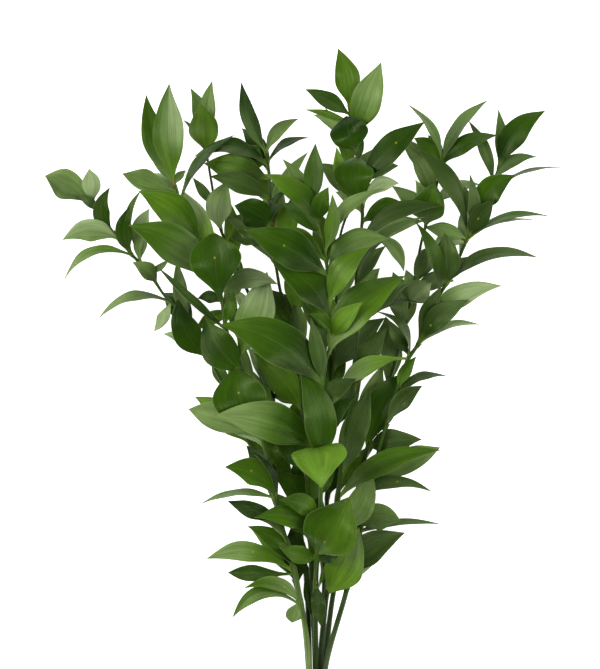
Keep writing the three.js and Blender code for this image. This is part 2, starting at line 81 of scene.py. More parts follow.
camera_data = bpy.data.cameras.new("camera")
camera_data.lens = camera_data.sensor_width * (CAMERA_LEVEL - TRUE_SIZE_LEVEL) / VIEW_HEIGHT
camera_data.clip_end = SIGHT_METRES
camera = place_object("camera", camera_data)
camera.location = Vector((*VIEW_CENTRE, CAMERA_LEVEL)) * MM
bpy.context.scene.camera = camera
print(f"The lens is {camera_data.lens:.0f} mm long.")

# %% [markdown]
# ## Floor
#
# The bunch lies on white paper, which glows a little, as it does on a light table, and so stays
# white in the gaps between the leaves. Paper that only reflects would turn grey under the bunch.

# %% Paper
FLOOR_METRES = 30.0
PAPER_WHITE = (0.9, 0.9, 0.9, 1.0)
PAPER_GLOW = 0.85
WHITE = (1.0, 1.0, 1.0, 1.0)


def set_inputs(node, settings):
    """Gives some of a node's inputs their values."""
    for name, value in settings.items():
        node.inputs[name].default_value = value


def new_material(name):
    """A new material, its node tree and its shader."""
    material = bpy.data.materials.new(name)
    material.use_nodes = True
    return material, material.node_tree, material.node_tree.nodes["Principled BSDF"]


paper, _, paper_shader = new_material("white_paper")
set_inputs(paper_shader, {
    "Base Color": PAPER_WHITE,
    "Roughness": 0.9,
    "Specular IOR Level": 0.1,
    "Emission Color": WHITE,
    "Emission Strength": PAPER_GLOW,
})
floor_mesh = bpy.data.meshes.new("floor")
bm = bmesh.new()
bmesh.ops.create_grid(bm, x_segments=1, y_segments=1, size=FLOOR_METRES / 2)
bm.to_mesh(floor_mesh)
bm.free()
floor_mesh.materials.append(paper)
floor = place_object("floor", floor_mesh)
print(f"The paper is {FLOOR_METRES:.0f} m wide.")

# %% [markdown]
# ## Light
#
# Foliage looks fresh in the soft light of a white tent. Its roof is a sun spread over most of the
# sky, which lights the leaves but isn't mirrored in them, so the leaves that face the camera keep
# their full green. Broad lamps on both sides put a pale sheen on the leaves that lean towards
# them. A lamp overhead would do the work of both, but its gloss would make all the leaves milky.

# %% Lamps
SIDE_LAMPS = [
    # name, place in metres, sides in metres, power in watts
    ("lamp_left", (-1.4, 0.5, 1.4), (0.6, 1.5), 30.0),
    ("lamp_right", (1.4, 0.2, 1.3), (0.5, 1.3), 18.0),
]
LIT_PLACE_METRES = Vector((0, 0.05, 0.05))
ROOF_STRENGTH = 1.7
ROOF_SPREAD = math.radians(110)

for name, place, (width, length), power in SIDE_LAMPS:
    lamp_data = bpy.data.lights.new(name, "AREA")
    lamp_data.shape = "RECTANGLE"
    lamp_data.size = width
    lamp_data.size_y = length
    lamp_data.energy = power
    lamp = place_object(name, lamp_data)
    lamp.location = place
    lamp.rotation_mode = "QUATERNION"
    lamp.rotation_quaternion = (LIT_PLACE_METRES - lamp.location).to_track_quat("-Z", "Y")
    lamp.visible_camera = False

roof_data = bpy.data.lights.new("tent_roof", "SUN")
roof_data.energy = ROOF_STRENGTH
roof_data.angle = ROOF_SPREAD
place_object("tent_roof", roof_data).visible_glossy = False
print(f"{len(SIDE_LAMPS) + 1} lamps light the floor.")

# %% Sky
SKY_LOW = 0.16
SKY_HIGH = 0.015
LOW_PART = 0.3
HIGH_PART = 0.95


def new_node(tree, kind, **settings):
    """A node of a kind, with some of its settings given."""
    node = tree.nodes.new(kind)
    for key, value in settings.items():
        setattr(node, key, value)
    return node


def feed(tree, socket, value):
    """Links an input to a socket, or gives it a value of its own."""
    if isinstance(value, bpy.types.NodeSocket):
        tree.links.new(value, socket)
    else:
        socket.default_value = value


sky = bpy.data.worlds.new("white_tent")
sky.use_nodes = True
bpy.context.scene.world = sky
tree = sky.node_tree
direction = new_node(tree, "ShaderNodeTexCoord")
heights = new_node(tree, "ShaderNodeSeparateXYZ")
feed(tree, heights.inputs["Vector"], direction.outputs["Generated"])
dimming = new_node(tree, "ShaderNodeMapRange")
set_inputs(dimming, {"From Min": LOW_PART, "From Max": HIGH_PART})
set_inputs(dimming, {"To Min": SKY_LOW, "To Max": SKY_HIGH})
feed(tree, dimming.inputs["Value"], heights.outputs["Z"])
feed(tree, tree.nodes["Background"].inputs["Strength"], dimming.outputs["Result"])
feed(tree, tree.nodes["Background"].inputs["Color"], WHITE)

bpy.context.scene.view_settings.view_transform = "Standard"
bpy.context.scene.view_settings.exposure = 0.0
print(f"The sky dims from {SKY_LOW} at the sides to {SKY_HIGH} overhead.")

# %% [markdown]
# ## Nine stems and their leaves
#
# No two leaves of a bunch lie alike, so each is written down. A leaf's row says how high on the
# stem it roots, where its tip is seen from above, how far its tip rises, how broad it is, which
# way it rolls, and how green it is, with painted light and shade in that green. The last entry of
# some rows gives what isn't usual about the leaf: the arch of its middle, the bow of its middle,
# how far along it is broadest, where it bears the yellow scar of a flower bud, or another green
# for its tip, its foot, or its left or right half, which paints sheen on some leaves and shade on
# others.
#
# A single leaf scattered over the stems by chance would be quicker, and would never look gathered.

# %% The stems, each with its middle line and its leaves
STEMS = [
    {
        "name": "stem_front",
        "skin": "shaded",
        "route": [
            (12.1, -300, 14.1), (11.7, -235, 17), (11, -165, 30), (14, -110, 50), (15.5, -75, 64),
            (12, -33, 78), (15.5, -9, 83), (17, 15, 87), (20, 35, 90), (24, 52, 91), (22, 94, 92),
            (19, 128, 90), (15, 145, 88), (11.5, 158, 86), (8, 168, 84),
        ],
        "leaves": [
            (166, 11, 218, 8, 17, 0, "green", {"right": "sage"}),
            (165, -17, 205, -6, 12, 10, "silver", {"bow": 2}),
            (151, 22, 181, 12, 16, -10, "green", {"bow": -2, "tip": "fresh", "foot": "deep"}),
            (149, -33, 192, 6, 20, 32, "fresh", {"tip": "bright", "foot": "deep"}),
            (140, -17, 168, -8, 18, 0, "green", {"bow": 2, "foot": "deep"}),
            (128, 70, 180, -4, 14, -35, "silver", {"bow": -7, "left": "pale"}),
            (127, 25, 175, 3, 13, 20, "bright", {"bow": 3, "right": "silver"}),
            (118, -31, 145, -8, 19, 10, "fresh", {"bow": 5}),
            (106, -49, 145, 8, 32, 5, "deep",
             {"bow": 4, "bud": 0.56, "tip": "green", "foot": "dark"}),
            (108, 74, 137, -2, 25, -20, "grey",
             {"bow": -10, "right": "pale", "tip": "silver", "foot": "deep"}),
            (82, 57, 130, 10, 24, -30, "fresh", {"right": "lime", "tip": "bright"}),
            (70, -27, 119, -6, 33, 8, "green", {"foot": "dark"}),
            (54, 4, 74, 18, 12, 50, "fresh"),
            (52, 51, 84, 16, 17, 0, "lime", {"foot": "bright"}),
            (40, 87, 106, 4, 32, -10, "bright", {"bow": -9, "left": "green", "foot": "silver"}),
            (16, 7, 71, 12, 14, -10, "grey", {"right": "sage"}),
            (14, -70, 65, 10, 38, 10, "green", {"right": "deep", "tip": "fresh", "foot": "dark"}),
            (-9, 46, 19, -4, 17, -20, "grey", {"right": "shade", "tip": "shade"}),
            (-40, -74, -12, 16, 35, -5, "bright",
             {"right": "green", "tip": "pale", "foot": "deep"}),
            (-42, 46, 5, -2, 19, -25, "deep"),
            (-56, -3, 30, 10, 31, 24, "green"),
            (-40, 16, -73, 40, 48, 0, "lime", {"arch": 14}),
            (-131, 40, -81, 22, 49, 0, "bright",
             {"arch": 12, "bow": 0, "bud": 0.3, "left": "green"}),
            (-100, -20, -84, 12, 18, 10, "green", {"bow": 5, "foot": "bright"}),
            (-112, -41, -99, 10, 19, 15, "fresh", {"right": "green", "foot": "deep"}),
            (-134, -20, -124, 18, 16, 10, "fresh", {"bow": -2}),
            (-134, 34, -127, 20, 14, -10, "dark", {"bow": 1}),
            (-164, 14, -131, 10, 8, 65, "fresh"),
            (-156, 16, -193, 5, 13, 10, "dark", {"tip": "shade"}),
        ],
    },
    {
        "name": "stem_left",
        "skin": "light",
        "route": [
            (6.3, -300, 14.1), (6, -235, 17), (3.8, -204, 23), (-1, -176, 30), (-6, -148, 38),
            (-13, -122, 45), (-20, -97, 52), (-25, -68, 58), (-31, -42, 62), (-37, -16, 66),
            (-46, 10, 69), (-53, 31, 70), (-62, 53, 70), (-66, 67, 70), (-69, 90, 69),
            (-76, 112, 67), (-92, 144, 62), (-107, 178, 58), (-111, 190, 56),
        ],
        "leaves": [
            (186, -113, 270, 6, 27, 5, "fresh", {"bow": -3, "right": "frosted", "foot": "bright"}),
            (184, -133, 261, -10, 21, 5, "fresh", {"bow": -5, "foot": "silver"}),
            (184, -131, 229, -16, 13, 5, "silver", {"bow": -2}),
            (178, -153, 193, 6, 20, 15, "silver", {"bow": -1, "belly": 0.56}),
            (184, -99, 196, -6, 7, 0, "silver"),
            (170, -58, 226, -6, 14, -52, "green", {"arch": 9, "bow": -1, "right": "dark"}),
            (135, -139, 178, 10, 29, 5, "fresh",
             {"bow": 6, "left": "bright", "tip": "bright", "foot": "green"}),
            (116, -103, 180, -14, 20, 0, "lime", {"bow": 4, "tip": "frosted"}),
            (98, -147, 149, 12, 33, 10, "sage",
             {"bow": 7, "belly": 0.5, "tip": "fresh", "foot": "silver"}),
            (80, -75, 143, 20, 47, 0, "green",
             {"arch": 14, "bow": -2, "belly": 0.7, "bud": 0.71, "right": "deep"}),
            (92, -21, 99, -6, 18, -10, "sage", {"bow": -8, "tip": "frosted"}),
            (60, -123, 114, 0, 8, 20, "grey", {"bow": -3, "foot": "dark"}),
            (84, -89, 87, -6, 11, 0, "dark", {"bow": 3}),
            (66, -58, 93, -3, 13, 0, "fresh"),
            (36, -30, 110, -8, 32, -5, "silver",
             {"bow": 3, "right": "pale", "tip": "frosted", "foot": "bright"}),
            (24, -82, 70, -6, 32, 5, "dark", {"bow": -4, "right": "green", "foot": "green"}),
            (-24, -56, 29, 8, 47, 0, "green", {"arch": 14, "bow": -7, "belly": 0.56, "bud": 0.66}),
            (-34, -97, -7, -8, 26, -5, "pale", {"bow": 5, "belly": 0.6}),
            (-40, -82, -16, -14, 14, 10, "frosted"),
            (-78, -48, -38, -14, 20, 0, "dark"),
            (-84, -44, -42, 14, 9, 50, "dark"),
            (-85, -66, -56, 8, 23, -5, "fresh", {"bow": 11, "belly": 0.55, "bud": 0.62}),
            (-83, -87, -88, -6, 12, 60, "silver", {"arch": 5, "bow": 3, "belly": 0.38}),
            (-100, -64, -85, -6, 15, 5, "dark", {"bow": -1}),
            (-124, -42, -100, 6, 10, 50, "pale"),
            (-143, -47, -107, 4, 20, 15, "green", {"right": "fresh"}),
            (-147, -82, -135, -4, 18, 5, "bright",
             {"bow": 12, "belly": 0.55, "bud": 0.5, "tip": "pale"}),
            (-148, -64, -147, -12, 15, 0, "deep", {"bow": 0, "belly": 0.62}),
            (-174, -50, -160, 8, 13, 0, "pale",
             {"bow": 13, "bud": 0.36, "left": "silver", "tip": "bright"}),
            (-175, -60, -186, -6, 13, 5, "silver", {"bow": 17, "belly": 0.58, "right": "fresh"}),
            (-170, -9, -190, -6, 15, 0, "pale", {"bow": 1, "belly": 0.62}),
        ],
    },
    {
        "name": "stem_crown",
        "skin": "dark",
        "route": [
            (12.1, -300, 8.4), (14.4, -235, 11), (20.5, -165, 26), (27, -105, 38), (33, -57, 47),
            (36, -33, 51), (43, 11, 57), (46, 52, 61), (46, 109, 63), (50, 145, 62),
            (51, 162, 60), (48, 200, 57), (42, 232, 55), (40, 250, 54),
        ],
        "leaves": [
            (248, 30, 300, 0, 22, 0, "fresh", {"bow": 3, "right": "bright"}),
            (224, 67, 288, 6, 27, -5, "silver",
             {"bow": 0, "right": "pale", "tip": "pale", "foot": "fresh"}),
            (243, 2, 265, 2, 15, 10, "deep", {"bow": 1, "left": "grey"}),
            (236, 2, 248, -6, 7, 20, "bright", {"bow": 0}),
            (212, 37, 242, -6, 34, 0, "deep",
             {"arch": 14, "bow": -2, "belly": 0.55,
              "right": "dark", "tip": "dark", "foot": "green"}),
            (165, 29, 216, -10, 17, 0, "lime", {"bow": -4}),
            (167, 46, 208, -6, 35, 0, "green", {"arch": 14, "bow": -4, "belly": 0.55}),
            (186, 104, 237, 6, 23, -10, "deep", {"bow": -3, "bud": 0.6, "foot": "dark"}),
            (180, 82, 200, -8, 12, 0, "sage", {"bow": -6, "belly": 0.58}),
            (165, 82, 185, -6, 14, 0, "frosted", {"bow": -9, "belly": 0.6}),
            (152, 95, 160, 4, 22, -10, "green"),
            (135, 119, 165, 4, 17, -25, "grey", {"tip": "shade", "foot": "sage"}),
            (140, 86, 110, -6, 12, 0, "pale", {"bow": -11, "belly": 0.6}),
            (105, 104, 156, 14, 11, -40, "sage", {"bow": -6}),
            (97, 71, 132, -2, 13, -10, "sage"),
            (84, 66, 113, -6, 16, 0, "silver"),
            (58, 101, 83, -4, 11, -50, "dark"),
            (62, 93, 101, 0, 22, -5, "sage"),
            (8, 73, 64, -4, 20, 0, "deep", {"right": "sage"}),
            (-62, 58, 14, 4, 24, -10, "grey", {"bow": 1, "belly": 0.4, "foot": "sage"}),
            (-84, 118, -42, 8, 19, -10, "fresh", {"bow": -11, "foot": "grey"}),
            (-112, 58, -58, 6, 25, 0, "silver", {"bow": 8, "foot": "pale"}),
            (-165, 51, -101, 30, 37, 0, "lime",
             {"bow": 4, "belly": 0.38, "left": "bright", "tip": "pale"}),
        ],
    },
    {
        "name": "stem_far_right",
        "skin": "mid",
        "route": [
            (17.9, -300, 14.1), (18.6, -235, 15.4), (37.5, -163, 26), (52, -100, 36),
            (66, -39, 43), (78, 0, 47), (89, 34, 49), (99, 49, 50), (104, 61, 50), (110, 80, 50),
            (122, 99, 49), (137, 130, 47), (141, 140, 46), (152, 160, 44), (162, 185, 42),
            (168, 200, 41),
        ],
        "leaves": [
            (198, 207, 247, 8, 22, -5, "deep", {"bow": -8, "tip": "green", "foot": "dark"}),
            (198, 167, 249, -6, 11, 20, "silver", {"bow": 2}),
            (190, 200, 208, 2, 12, -20, "sage", {"bow": -5, "belly": 0.36}),
            (186, 141, 239, 6, 11, 10, "grey", {"bow": 3}),
            (176, 221, 199, -4, 10, -72, "shade", {"arch": 4, "bow": -3}),
            (156, 181, 192, 12, 23, 0, "fresh", {"bow": -8, "right": "deep"}),
            (150, 137, 184, -6, 9, 0, "silver"),
            (145, 142, 193, 8, 11, 15, "sage", {"bow": 2}),
            (141, 163, 172, 6, 18, -10, "shade", {"bud": 0.45}),
            (138, 98, 213, 12, 18, 25, "grey",
             {"arch": 8, "bow": 7, "belly": 0.56, "right": "shade"}),
            (136, 211, 157, 0, 13, -62, "fresh", {"arch": 12, "bow": 1}),
            (140, 199, 154, -10, 7, -65, "bright", {"arch": 8, "bow": 2}),
            (138, 104, 148, -4, 15, 10, "silver", {"bow": 1, "left": "pale"}),
            (134, 110, 130, -8, 16, 20, "frosted"),
            (99, 200, 122, 6, 18, -50, "grey",
             {"arch": 15, "bow": -2, "tip": "sage", "foot": "shade"}),
            (62, 170, 98, 0, 20, -10, "pale",
             {"bow": -9, "right": "frosted", "tip": "frosted", "foot": "fresh"}),
            (90, 96, 152, 14, 15, 35, "green", {"foot": "shade"}),
            (99, 121, 143, 6, 25, 0, "grey", {"bow": 2}),
            (99, 142, 123, -4, 12, -10, "silver"),
            (48, 118, 97, 4, 17, 0, "shade", {"bow": -3, "belly": 0.55, "right": "grey"}),
            (51, 142, 86, 10, 19, -5, "shade",
             {"bow": -5, "bud": 0.3, "right": "deep", "tip": "sage"}),
            (47, 151, 65, -6, 11, -50, "frosted", {"arch": 6, "bow": -3, "left": "pale"}),
            (38, 72, 70, 0, 12, 0, "deep", {"bow": 0, "tip": "pale", "foot": "dark"}),
            (37, 63, 76, 4, 12, 55, "grey", {"arch": 9}),
            (36, 32, 13, 12, 17, 10, "lime", {"bow": 6, "belly": 0.62, "tip": "pale"}),
            (4, 123, 21, -2, 12, -50, "shade", {"arch": 6, "bow": -3}),
            (10, 97, 38, 2, 11, 0, "deep", {"right": "fresh", "foot": "bright"}),
            (-22, 102, 13, 8, 16, -12, "shade", {"bow": -5, "belly": 0.55, "foot": "sage"}),
        ],
    },
    {
        "name": "stem_right",
        "skin": "mid",
        "route": [
            (17.9, -300, 8.4), (19.4, -235, 9.4), (26.5, -165, 18), (42, -100, 27), (56, -39, 34),
            (75, 20, 40), (87, 60, 43), (92, 85, 44), (96, 103, 45), (101, 134, 46),
            (111, 170, 46), (119, 204, 45),
        ],
        "leaves": [
            (203, 90, 252, 4, 12, 50, "silver", {"arch": 8, "bow": 0, "foot": "bright"}),
            (203, 158, 256, 8, 15, -42, "grey",
             {"arch": 7, "bow": -2, "tip": "silver", "foot": "sage"}),
            (200, 166, 226, 6, 17, -42, "green",
             {"arch": 8, "bow": -3, "tip": "grey", "foot": "dark"}),
            (198, 151, 218, -6, 9, -30, "green"),
            (200, 95, 224, 4, 18, 15, "bright", {"left": "fresh"}),
            (203, 107, 227, -8, 10, 0, "green"),
            (168, 90, 215, -6, 16, 0, "silver",
             {"bow": 5, "left": "pale", "tip": "pale", "foot": "fresh"}),
            (155, 96, 188, 6, 14, 20, "pale"),
            (150, 112, 187, 16, 29, 0, "green", {"arch": 6, "foot": "sage"}),
            (150, 76, 183, -4, 16, 10, "pale"),
            (103, 107, 132, -2, 12, 20, "sage"),
            (90, 88, 112, -4, 11, 0, "pale"),
            (60, 77, 110, -6, 26, 0, "shade", {"bow": 2, "right": "pale"}),
            (28, 71, 72, -6, 24, 0, "sage", {"bow": 0}),
            (98, 120, 132, -44, 18, 0, "fresh"),
            (82, 110, 101, 6, 23, -10, "sage", {"right": "frosted"}),
            (-39, 102, -33, 4, 22, -10, "sage",
             {"bow": -2, "belly": 0.35, "right": "shade", "foot": "shade"}),
            (-42, 93, 26, 6, 28, 5, "deep", {"bow": -9, "foot": "green"}),
            (-34, 69, 31, -4, 22, 0, "pale", {"bow": -4}),
            (-75, 118, -40, -6, 22, -5, "silver", {"bow": -2, "belly": 0.6}),
            (-82, 111, -78, 4, 12, -20, "grey",
             {"bow": -9, "belly": 0.38, "bud": 0.55, "right": "sage"}),
            (-112, 84, -103, 6, 24, -5, "sage", {"bow": -8, "belly": 0.6, "left": "silver"}),
            (-117, 119, -106, -4, 8, -40, "sage", {"arch": 3, "bow": -5}),
            (-150, 88, -113, 4, 28, -5, "grey", {"bow": -5, "left": "sage"}),
        ],
    },
    {
        "name": "stem_middle",
        "skin": "dark",
        "route": [
            (12.1, -300, 2.7), (11.4, -235, 4.6), (8, -150, 19), (4, -60, 32), (-1, 20, 42),
            (-6, 69, 47), (-15, 86, 49), (-19, 94, 50), (-27, 150, 52), (-28, 172, 52),
            (-28, 190, 51), (-31, 213, 50),
        ],
        "leaves": [
            (211, -52, 272, 0, 14, 0, "sage", {"bow": -4, "right": "dark", "tip": "dark"}),
            (210, -54, 248, -8, 9, 40, "silver", {"arch": 1, "bow": 0}),
            (211, -3, 240, 4, 12, -15, "sage", {"bow": -5, "right": "silver"}),
            (203, 5, 224, 0, 11, -50, "dark", {"arch": 6, "bow": -1}),
            (203, -56, 217, -6, 25, 0, "deep", {"bow": -4}),
            (200, -92, 208, -4, 19, 42, "grey", {"arch": 12, "bow": 4, "right": "dark"}),
            (188, -84, 202, -8, 26, 0, "fresh", {"bow": 3, "tip": "bright", "foot": "shade"}),
            (172, -79, 191, -4, 18, 0, "grey", {"bow": 4}),
            (158, 5, 212, -6, 12, 0, "silver"),
            (150, -13, 180, 8, 11, -45, "dark"),
            (148, -58, 166, 4, 28, 0, "deep", {"bow": 4, "left": "dark"}),
            (141, -61, 157, -8, 10, 0, "deep"),
            (124, -61, 138, -16, 17, 0, "deep", {"bow": 8, "belly": 0.62}),
            (124, -8, 175, -8, 20, 0, "bright", {"bow": 2}),
            (60, -28, 95, -6, 18, 0, "grey", {"foot": "bright"}),
            (40, -6, 88, 4, 15, 10, "silver", {"left": "dark"}),
            (-190, 4, -140, 0, 12, 0, "deep", {"bow": 0}),
        ],
    },
    {
        "name": "stem_far_left",
        "skin": "mid",
        "route": [
            (6.3, -300, 8.4), (5.4, -235, 9.6), (0, -180, 13), (-11, -135, 18), (-26, -76, 26),
            (-45, -35, 31), (-63, 5, 35), (-78, 33, 38), (-93, 58, 38), (-108, 80, 36),
            (-118, 90, 35), (-130, 108, 34), (-146, 125, 33), (-157, 138, 32), (-166, 150, 31),
            (-182, 169, 30),
        ],
        "leaves": [
            (166, -220, 192, 4, 27, 0, "pale", {"bow": 4, "belly": 0.58, "left": "sage"}),
            (166, -182, 198, 6, 17, 0, "frosted", {"bow": 0, "belly": 0.58}),
            (162, -192, 176, 10, 9, 0, "sage"),
            (142, -164, 182, 10, 15, 0, "grey", {"bow": -10, "right": "deep"}),
            (138, -205, 137, 6, 20, 5, "frosted", {"bow": 9, "bud": 0.7, "left": "pale"}),
            (125, -147, 166, 10, 15, 0, "green", {"bow": -6, "tip": "deep", "foot": "grey"}),
            (125, -137, 181, -8, 7, 20, "silver", {"bow": -10}),
            (116, -131, 164, -8, 15, 0, "pale",
             {"bow": -6, "belly": 0.6, "right": "sage", "tip": "frosted", "foot": "silver"}),
            (124, -204, 102, 2, 14, 52, "lime", {"arch": 13, "bow": 4, "bud": 0.75, "tip": "pale"}),
            (84, -174, 70, 0, 14, 52, "silver",
             {"arch": 13, "bow": 2, "bud": 0.66, "tip": "pale", "foot": "sage"}),
            (100, -145, 118, 8, 15, 15, "silver", {"tip": "pale", "foot": "sage"}),
            (110, -114, 121, 4, 6, 0, "silver", {"bow": 2}),
            (64, -107, 121, -8, 13, 0, "sage", {"bow": -2}),
            (84, -127, 59, -8, 11, 20, "frosted", {"bow": -2}),
            (60, -117, 90, -6, 14, 0, "green"),
            (36, -119, 57, -8, 16, 10, "frosted"),
            (60, -120, 92, -37, 20, 0, "dark"),
            (-160, -8, -104, 0, 22, 0, "deep", {"bow": 0, "left": "dark"}),
            (37, -106, 88, 14, 25, 0, "green", {"bow": -7, "tip": "dark"}),
        ],
    },
    {
        "name": "stem_back_left",
        "skin": "dark",
        "route": [
            (6.3, -300, 2.7), (6, -235, 3.4), (3, -150, 7), (-8, -76, 12), (-25, 0, 18),
            (-42, 80, 24), (-59, 120, 26.5), (-71, 150, 28), (-78, 188, 29), (-83, 218, 28),
        ],
        "leaves": [
            (216, -77, 274, -4, 16, -5, "pale", {"bow": -2, "left": "silver"}),
            (214, -96, 268, -8, 16, 10, "silver", {"bow": 3}),
            (212, -88, 254, 12, 26, 0, "fresh", {"left": "pale", "tip": "bright", "foot": "lime"}),
            (210, -102, 240, 0, 9, 40, "green"),
            (165, -94, 191, -4, 9, 0, "silver", {"bow": 0}),
            (146, -63, 188, 12, 23, 0, "frosted", {"bow": -5, "tip": "pale"}),
            (98, -76, 134, -29, 13, 0, "bright"),
            (134, -56, 157, -2, 8, 0, "lime"),
            (58, -62, 98, 2, 12, 0, "frosted"),
            (4, -40, 49, 8, 13, 0, "frosted"),
        ],
    },
    {
        "name": "stem_back",
        "skin": "dark",
        "route": [
            (17.9, -300, 2.7), (17.9, -235, 3.4), (19, -150, 9), (22, -60, 16), (26, 30, 22),
            (29, 95, 25), (32, 139, 26), (38, 160, 26), (44, 185, 25),
        ],
        "leaves": [
            (183, 19, 251, -2, 13, 20, "bright"),
            (180, 60, 215, 0, 14, -10, "sage"),
            (172, 13, 203, 4, 18, 15, "silver"),
            (158, 64, 186, 0, 14, -20, "green"),
            (96, 50, 140, -24, 18, 0, "fresh"),
        ],
    },
]
print(sum(len(stem["leaves"]) for stem in STEMS), "leaves are written down.")

# %% [markdown]
# ## Leaves at the back and deep inside
#
# The leaves on the far side of the bunch are hardly seen from above, so a rule lays them, in turn
# to the left and right of their stem. Deep inside are small leaves that the fixed model leaves
# out. They close the gaps between the stems, through which the paper would shine. Fewer and larger
# ones would close them too, but small ones fit in more easily between their neighbours.

# %% Far-side and inner leaves
FAR_SIDE_LEAVES = [
    # stem, lowest root, and the tones of its leaves from below
    ("stem_middle", -146, "fresh fresh green deep green bright deep lime bright"),
    ("stem_back_left", -97, "fresh bright fresh bright green deep"),
    ("stem_back", -137, "green green fresh green sage fresh sage lime"),
    ("stem_far_left", -66, "fresh lime silver"),
]
INNER_LEAVES = [
    # stem, root height, tip x and y, rise, width, roll, tone
    ("stem_back", 6, 32, 51, -8, 20, 0, "green"),
    ("stem_middle", 140, -22, 194, -24, 20, 0, "pale"),
    ("stem_back_left", 6, -48, 47, -5, 12, 0, "frosted"),
    ("stem_right", 92, 130, 102, -24, 16, 0, "sage"),
    ("stem_crown", 202, 45, 232, -24, 12, 0, "fresh"),
    ("stem_middle", 116, -68, 158, -24, 16, 0, "sage"),
    ("stem_crown", 216, 9, 244, -24, 12, 0, "pale"),
    ("stem_crown", 128, 104, 153, -24, 16, 0, "pale"),
    ("stem_back", 82, 48, 114, -11, 12, 0, "pale"),
    ("stem_far_left", -156, -45, -109, -2, 16, 0, "lime"),
    ("stem_far_left", 7, -79, 33, -22, 12, 0, "fresh"),
    ("stem_middle", 194, -52, 233, -24, 16, 0, "deep"),
    ("stem_far_left", 118, -138, 148, -20, 12, 0, "frosted"),
    ("stem_crown", -80, 64, -37, -24, 12, 0, "bright"),
    ("stem_right", 11, 84, 56, -24, 16, 0, "silver"),
    ("stem_far_left", 58, -59, 74, -24, 12, 0, "lime"),
    ("stem_front", 114, 14, 160, -24, 20, 0, "bright"),
    ("stem_right", 182, 82, 225, -24, 16, 0, "pale"),
    ("stem_middle", -5, -28, 3, -24, 12, 0, "green"),
    ("stem_right", 166, 152, 185, -24, 12, 0, "frosted"),
    ("stem_back_left", 117, -62, 170, -13, 16, 0, "lime"),
    ("stem_far_right", -159, 79, -123, -14, 12, 0, "frosted"),
    ("stem_middle", 165, -46, 198, -24, 16, 0, "lime"),
    ("stem_far_right", 124, 145, 176, -24, 12, 0, "frosted"),
    ("stem_left", 168, -130, 194, -24, 12, 0, "frosted"),
    ("stem_crown", 159, 28, 178, -24, 12, 0, "pale"),
    ("stem_left", 81, -47, 103, -24, 12, 0, "pale"),
    ("stem_back", 39, -6, 92, -9, 16, 0, "pale"),
]
print(sum(len(tones.split()) for *_, tones in FAR_SIDE_LEAVES), "leaves follow the rule.")
print(len(INNER_LEAVES), "small leaves lie inside.")

# %% [markdown]
# ## The middle line of a stem
#
# A stem is springy, so its middle line is one smooth curve. Each stretch between two points of the
# route is a cubic that leaves one point and reaches the next at the route's own slope there. A
# Bezier curve would do as well, but a curve that is worked out by height makes it easy to root a
# leaf.

# %% Stem curve
FOOT_RADIUS = 2.65
TOP_RADIUS = 0.95
LOOK_ALONG = 0.5


def stem_point(route, height):
    """The middle of the stem at a height."""
    last = len(route) - 1
    k = 0
    while k < last - 1 and height > route[k + 1][1]:
        k += 1
    low = route[k]
    high = route[k + 1]
    step = high[1] - low[1]
    s = (height - low[1]) / step

    def slope(n, axis):
        before = route[max(n - 1, 0)]
        after = route[min(n + 1, last)]
        return (after[axis] - before[axis]) / (after[1] - before[1])

    def place(axis):
        # the four weights of a cubic by its two ends and the slopes there
        return (
            (2 * s**3 - 3 * s**2 + 1) * low[axis]
            + (s**3 - 2 * s**2 + s) * step * slope(k, axis)
            + (3 * s**2 - 2 * s**3) * high[axis]
            + (s**3 - s**2) * step * slope(k + 1, axis)
        )

    return Vector((place(0), height, place(2)))


def stem_radius(route, height):
    """A stem tapers evenly from its cut end to its top."""
    share = (height - route[0][1]) / (route[-1][1] - route[0][1])
    return FOOT_RADIUS + (TOP_RADIUS - FOOT_RADIUS) * share


def stem_heading(route, height):
    """The way the stem grows at a height, from just below it to just above."""
    above = stem_point(route, height + LOOK_ALONG)
    return (above - stem_point(route, height - LOOK_ALONG)).normalized()


print(f"A stem is {2 * FOOT_RADIUS} mm thick at its cut end and {2 * TOP_RADIUS} mm at its top.")

# %% [markdown]
# ## How one leaf lies
#
# A leaf is a strip along a bent middle line. Its two halves fold up a little from the midrib, and
# the whole blade turns slowly about its own length. It could also be modelled flat and then bent
# by modifiers, but a place that is worked out for each point is the same as in the fixed model.

# %% The outline of a leaf
STALK_SHARE = 0.08
STALK_HALF_WIDTH = 1.0
TIP_NARROWING = 0.3
USUAL_BELLY = 0.44


def clamp(value):
    """A value kept between 0 and 1."""
    return min(max(value, 0.0), 1.0)


def leaf_outline(u, belly):
    """Half the width at a share u of the length, as a share of the widest half."""
    x = clamp((u - STALK_SHARE) / (1 - STALK_SHARE))
    return math.sin(math.pi * x ** (math.log(0.5) / math.log(belly))) * (1 - TIP_NARROWING * x**6)


for u in (0.25, 0.5, 0.75):
    print(f"At {u} of its length, a leaf has {leaf_outline(u, USUAL_BELLY):.0%} of its width.")

# %% The pose of a leaf
FLAT_ARCH = 0.05
ROLLED_ARCH = 0.1
USUAL_BOW = 0.12
ROOT_DEPTH = 0.75
FULL_BEND = 4  # because u * (1 - u) is a quarter at the middle
LEAF_PARTS = ("left", "right", "tip", "foot")
UP = Vector((0, 0, 1))


